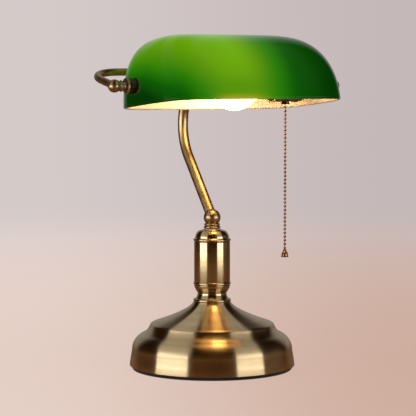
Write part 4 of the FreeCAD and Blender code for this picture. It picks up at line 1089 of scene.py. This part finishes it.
cap_end, HOLDER_BASE_R = high_of("holder_cap").x, 9.0
cap_neck = cap_end - 4.0
over, under = [(18.0, shell_end - 3.0), (18.0, shell_end)], [(17.55, shell_end - 3.0), (17.55, shell_end)]
for k in range(25):
    t = k / 24
    bulge = max(math.cos(QUARTER * t), 0) ** 0.75
    over.append((HOLDER_BASE_R + 8.5 * bulge, shell_end + 0.4 + (cap_neck - shell_end - 0.4) * t))
    under.append((HOLDER_BASE_R - SHEET + 8.5 * bulge, shell_end + (cap_neck - SHEET - shell_end) * t))
cap_line = over + [(HOLDER_BASE_R, cap_end), (4.0, cap_end), (4.0, cap_neck - SHEET)] + under[::-1]
set_on(lathe("holder_cap_pressed", cap_line, tube_brass, tilt_axis, X_AXIS, ease=0.3), "arm", "holder_cap")

guide_low, guide_high = low_of("chain_guide").z, high_of("chain_guide").z
guide_line = [(5.0, guide_low), (5.3, guide_low + 0.5), (4.1, guide_low + 1.5), (3.6, guide_low + 2.4),
    (3.6, guide_high)]
guide_line += [(2.2, guide_high), (2.2, guide_low + 2.6), (2.9, guide_low + 1.2), (4.4, guide_low)]
guide_centre = Vector((guide_middle.x, guide_middle.y, 0))
guide = lathe("chain_guide_bell_mouth", guide_line, dark_bronze, guide_centre, ease=0.25, steps=64)
set_on(guide, "arm", "chain_guide")

# %% [markdown]
# ## The pull chain
# A ball chain is one bead and one short pin, repeated. Geometry Nodes lay points along a line, put a
# bead on each point, run a thin wire through them all, and make the copies real. The bead count and
# the radii are inputs, and the pitch follows from the line, so a longer chain is one number away.

# %% A tree that strings beads
ball_chain = make_tree(
    "ball_chain",
    {"Beads": 38, "Bead radius": 0.00145, "Pin radius": 0.0005},
    {"spots": "GeometryNodeResampleCurve", "bead": "GeometryNodeMeshUVSphere",
     "copies": "GeometryNodeInstanceOnPoints", "circle": "GeometryNodeCurvePrimitiveCircle",
     "pin": "GeometryNodeCurveToMesh", "join": "GeometryNodeJoinGeometry",
     "smooth": "GeometryNodeSetShadeSmooth"},
    [("bead", "Segments", 28), ("bead", "Rings", 18), ("circle", "Resolution", 14), ("pin", "Fill Caps", True)],
    [("given", "Geometry", "spots", "Curve"), ("given", "Beads", "spots", "Count"),
     ("given", "Bead radius", "bead", "Radius"), ("given", "Pin radius", "circle", "Radius"),
     ("spots", 0, "copies", "Points"), ("bead", "Mesh", "copies", "Instance"),
     ("given", "Geometry", "pin", "Curve"), ("circle", "Curve", "pin", "Profile Curve"),
     ("copies", 0, "join", 0), ("pin", 0, "join", 0), ("join", 0, "smooth", 0), ("smooth", 0, "real", 0)],
)
BEAD_R, BEAD_PITCH, PIN_R, BEADS = 1.5, 4.2, 0.38, 38
first_bead = high_of("pull_chain").z + BEAD_R + 0.3 - BEAD_PITCH
last_bead = first_bead - BEAD_PITCH * (BEADS - 1)
chain_spot = Vector((chain_top.x, chain_top.y, 0))
chain_line = [chain_spot + Z_AXIS * first_bead * MM, chain_spot + Z_AXIS * last_bead * MM]
chain = grown("chain_beads", run_through("chain_line", chain_line), ball_chain, chain_brass,
    Beads=BEADS, Bead_radius=BEAD_R * MM, Pin_radius=PIN_R * MM)
tail = [(0, high_of("pull_chain").z), (PIN_R, high_of("pull_chain").z), (PIN_R, low_of("pull_chain").z),
    (0, low_of("pull_chain").z)]
chain = joined("chain_string", [chain, lathe("chain_tail", tail, chain_brass, chain_spot, steps=14, ease=0.1)])
set_on(chain, "chain", "pull_chain")
print("beads", BEADS, "last at", round(last_bead, 1))

# %% The bell at the chain's end
bell_low, bell_high = low_of("chain_bell").z, high_of("chain_bell").z
bell_r = high_of("chain_bell").x - chain_top.x / MM
bell = [(0, bell_high), (1.6, bell_high), (2.0, bell_high - 0.8), (1.7, bell_high - 1.6)]
bell += pull_curve((1.8, bell_high - 2.0), (bell_r - 0.6, bell_high - 3.2), (bell_r - 0.35, bell_low + 1.5), 12)
bell += [(bell_r, bell_low + 0.6), (bell_r - 0.2, bell_low), (bell_r - 1.2, bell_low),
    (bell_r - 1.6, bell_low + 1.2), (0, bell_low + 1.4)]
set_on(lathe("chain_bell_turned", bell, chain_brass, chain_spot, steps=64, ease=0.25), "chain", "chain_bell")

# %% [markdown]
# ## The studio
# The lamp stands on a plain pale floor that runs out of sight. Far from the lamp the floor takes the tone of the
# air behind it, so no line shows where they meet. That tone is painted light: paler to the left, and warmer near
# the lamp, a painted pool of its light. Two low upright softboxes, one on each side, give the pale bars that run
# down the base. Above them a tall bank of soft light on each side reaches over the lamp and gives the bars on the
# cone and the column. A pale wall stands behind the lamp, and a fainter, lower one at the right. The rest of the
# room is dark and warm, which keeps the brass rich. Only the camera sees the pale air: reflections and light see
# the room.

# %% Camera
AWAY, EYE_HIGH = 1.9, 0.31459
TURN, LOOK_DOWN = math.radians(31.22), math.radians(4.15)
STAND = Vector((-AWAY * math.sin(TURN), -AWAY * math.cos(TURN), EYE_HIGH))
level_way = Vector((math.sin(TURN), math.cos(TURN), 0))
look = level_way * math.cos(LOOK_DOWN) - Z_AXIS * math.sin(LOOK_DOWN)
lens = bpy.data.cameras.new("lens")
lens.lens, lens.sensor_width, lens.sensor_fit = 150.16, 36.0, "HORIZONTAL"
lens.shift_x = -0.00983
lens.clip_start, lens.clip_end = 0.05, 60.0
camera = placed("camera", lens)
camera.location = STAND
camera.rotation_euler = look.to_track_quat("-Z", "Y").to_euler()
bpy.context.scene.camera = camera
bpy.context.scene.view_settings.view_transform = "Standard"
print("camera at", [round(v, 3) for v in STAND])

# %% Softboxes
side_way = level_way.cross(Z_AXIS)


BOX_AWAY, BOX_HIGH, BOX_TONE = 1.3, 0.42, (1.0, 0.99, 0.97)


def softbox(name, turn, width_angle, radiance):
    """An upright lit panel; turn is its angle from the camera's side, to the right if positive."""
    a = math.radians(turn)
    out = (-level_way * math.cos(a) + side_way * math.sin(a))
    width = 2 * BOX_AWAY * math.tan(math.radians(width_angle / 2))
    data = bpy.data.lights.new(name, "AREA")
    data.shape, data.size, data.size_y = "RECTANGLE", width, BOX_HIGH
    data.color = BOX_TONE
    data.energy = radiance * math.pi * width * BOX_HIGH
    lamp = placed(name, data)
    lamp.location = out * BOX_AWAY + Z_AXIS * BOX_HIGH / 2
    lamp.rotation_euler = (-out).to_track_quat("-Z", "Y").to_euler()
    lamp.visible_camera = False


softbox("softbox_left", -58.0, 49.0, 4.1)
softbox("softbox_right", 54.5, 41.0, 3.6)

# %% Air and floor
def make_studio_tone():
    """Painted light on the backdrop and floor: paler to the left, and warmer near the lamp, a painted pool of its
    light.
    """
    group, given, out = new_group(
        "studio_tone",
        [("Across", "NodeSocketFloat", 0.0), ("Near", "NodeSocketFloat", 0.0)],
        [("Colour", "NodeSocketColor")],
    )
    # painted light: paler to the left, and warmer near the lamp, a painted pool of its light
    across = span(group, given["Across"], -0.12, 0.12, smooth=True)
    far = blend_colours(group, across, rgb(0.662, 0.592, 0.583), rgb(0.552, 0.482, 0.480))
    near = blend_colours(group, across, rgb(0.880, 0.715, 0.645), rgb(0.690, 0.480, 0.400))
    wire(group, out["Colour"], blend_colours(group, given["Near"], far, near))
    return group


studio_tone = make_studio_tone()
world = bpy.data.worlds.new("room")
bpy.context.scene.world = world
world.use_nodes = True
tree = world.node_tree
direction = tree.nodes.new("ShaderNodeTexCoord").outputs["Generated"]


def along(tree, vector, way):
    node = tree.nodes.new("ShaderNodeVectorMath")
    node.operation = "DOT_PRODUCT"
    wire(tree, node.inputs[0], vector)
    node.inputs[1].default_value = way
    return node.outputs["Value"]


def band(tree, value, start, full, ebb, end):
    """One between full and ebb, fading to nothing at start and at end."""
    return times(tree, span(tree, value, start, full, smooth=True), span(tree, value, end, ebb, smooth=True))


# a bearing is the sideways part of a direction over one less its forward part
LEFT_BANK, RIGHT_BANK = (-0.98, -0.88, -0.32, -0.24), (0.26, 0.33, 0.69, 0.78)
BANK_TONE, WALL_TONE, ROOM_TONE = rgb(0.52, 0.49, 0.44), rgb(0.33, 0.30, 0.28), rgb(0.016, 0.007, 0.0025)
RIGHT_BANK_SHARE, LOW_WALL_SHARE = 0.85, 0.5
height, forward = along(tree, direction, Z_AXIS), along(tree, direction, level_way)
sideways = along(tree, direction, side_way)
# painted light: the air the camera sees is painted paler to the left
air = use_group(tree, studio_tone, Across=sideways, Near=0.0)["Colour"]
bearing = maths(tree, "DIVIDE", sideways, maths(tree, "SUBTRACT", 1.001, forward))
both = maths(tree, "MULTIPLY_ADD", band(tree, bearing, *RIGHT_BANK), RIGHT_BANK_SHARE,
    band(tree, bearing, *LEFT_BANK))
banks = times(tree, both, span(tree, height, 0.28, 0.36))
behind = times(tree, span(tree, forward, 0.62, 0.85, smooth=True), span(tree, height, 0.60, 0.36, smooth=True))
right_low = times(tree, span(tree, sideways, 0.80, 0.96, smooth=True), span(tree, height, 0.36, 0.12))
walls = maths(tree, "MAXIMUM", behind, times(tree, right_low, LOW_WALL_SHARE))
room = blend_colours(tree, banks, blend_colours(tree, walls, ROOM_TONE, WALL_TONE), BANK_TONE)
seen = tree.nodes.new("ShaderNodeLightPath").outputs["Is Camera Ray"]
wire(tree, tree.nodes["Background"].inputs["Color"], blend_colours(tree, seen, room, air))

FLOOR_R = 12.0
floor_mesh = bpy.data.meshes.new("floor")
bm = bmesh.new()
bmesh.ops.create_circle(bm, cap_ends=True, segments=128, radius=FLOOR_R)
bm.to_mesh(floor_mesh)
bm.free()
floor = placed("floor", floor_mesh)

material, tree, shader, place = start_material("floor_pale", Roughness=0.75)
wire(tree, shader.inputs["Base Color"],
    blend_colours(tree, noise(tree, place, 3.0), rgb(0.48, 0.26, 0.12), rgb(0.52, 0.285, 0.135)))
measure = tree.nodes.new("ShaderNodeVectorMath")
measure.operation = "LENGTH"
wire(tree, measure.inputs[0], place)
# painted light: the floor the camera sees is warmer near the lamp, a painted pool of its light, and takes the air's
# tone far away
near = span(tree, measure.outputs["Value"], 0.10, 2.6, 1.0, 0.0, smooth=True)
lateral, depth = along(tree, place, side_way), along(tree, place, level_way)
across = maths(tree, "DIVIDE", lateral, maths(tree, "MAXIMUM", plus(tree, depth, AWAY), 0.6))
tone = use_group(tree, studio_tone, Across=across, Near=near)["Colour"]
floor_painted_light = tree.nodes.new("ShaderNodeEmission")
wire(tree, floor_painted_light.inputs["Color"], tone)
keep = tree.nodes.new("ShaderNodeMixShader")
share = span(tree, measure.outputs["Value"], 0.10, 1.6, 0.16, 0.0)
only = tree.nodes.new("ShaderNodeLightPath").outputs["Is Camera Ray"]
wire(tree, keep.inputs[0], maths(tree, "MAXIMUM", share, maths(tree, "SUBTRACT", 1.0, only)))
wire(tree, keep.inputs[1], floor_painted_light.outputs[0])
wire(tree, keep.inputs[2], shader.outputs[0])
wire(tree, tree.nodes["Material Output"].inputs["Surface"], keep.outputs[0])
floor_mesh.materials.append(material)
print("floor radius", FLOOR_R)
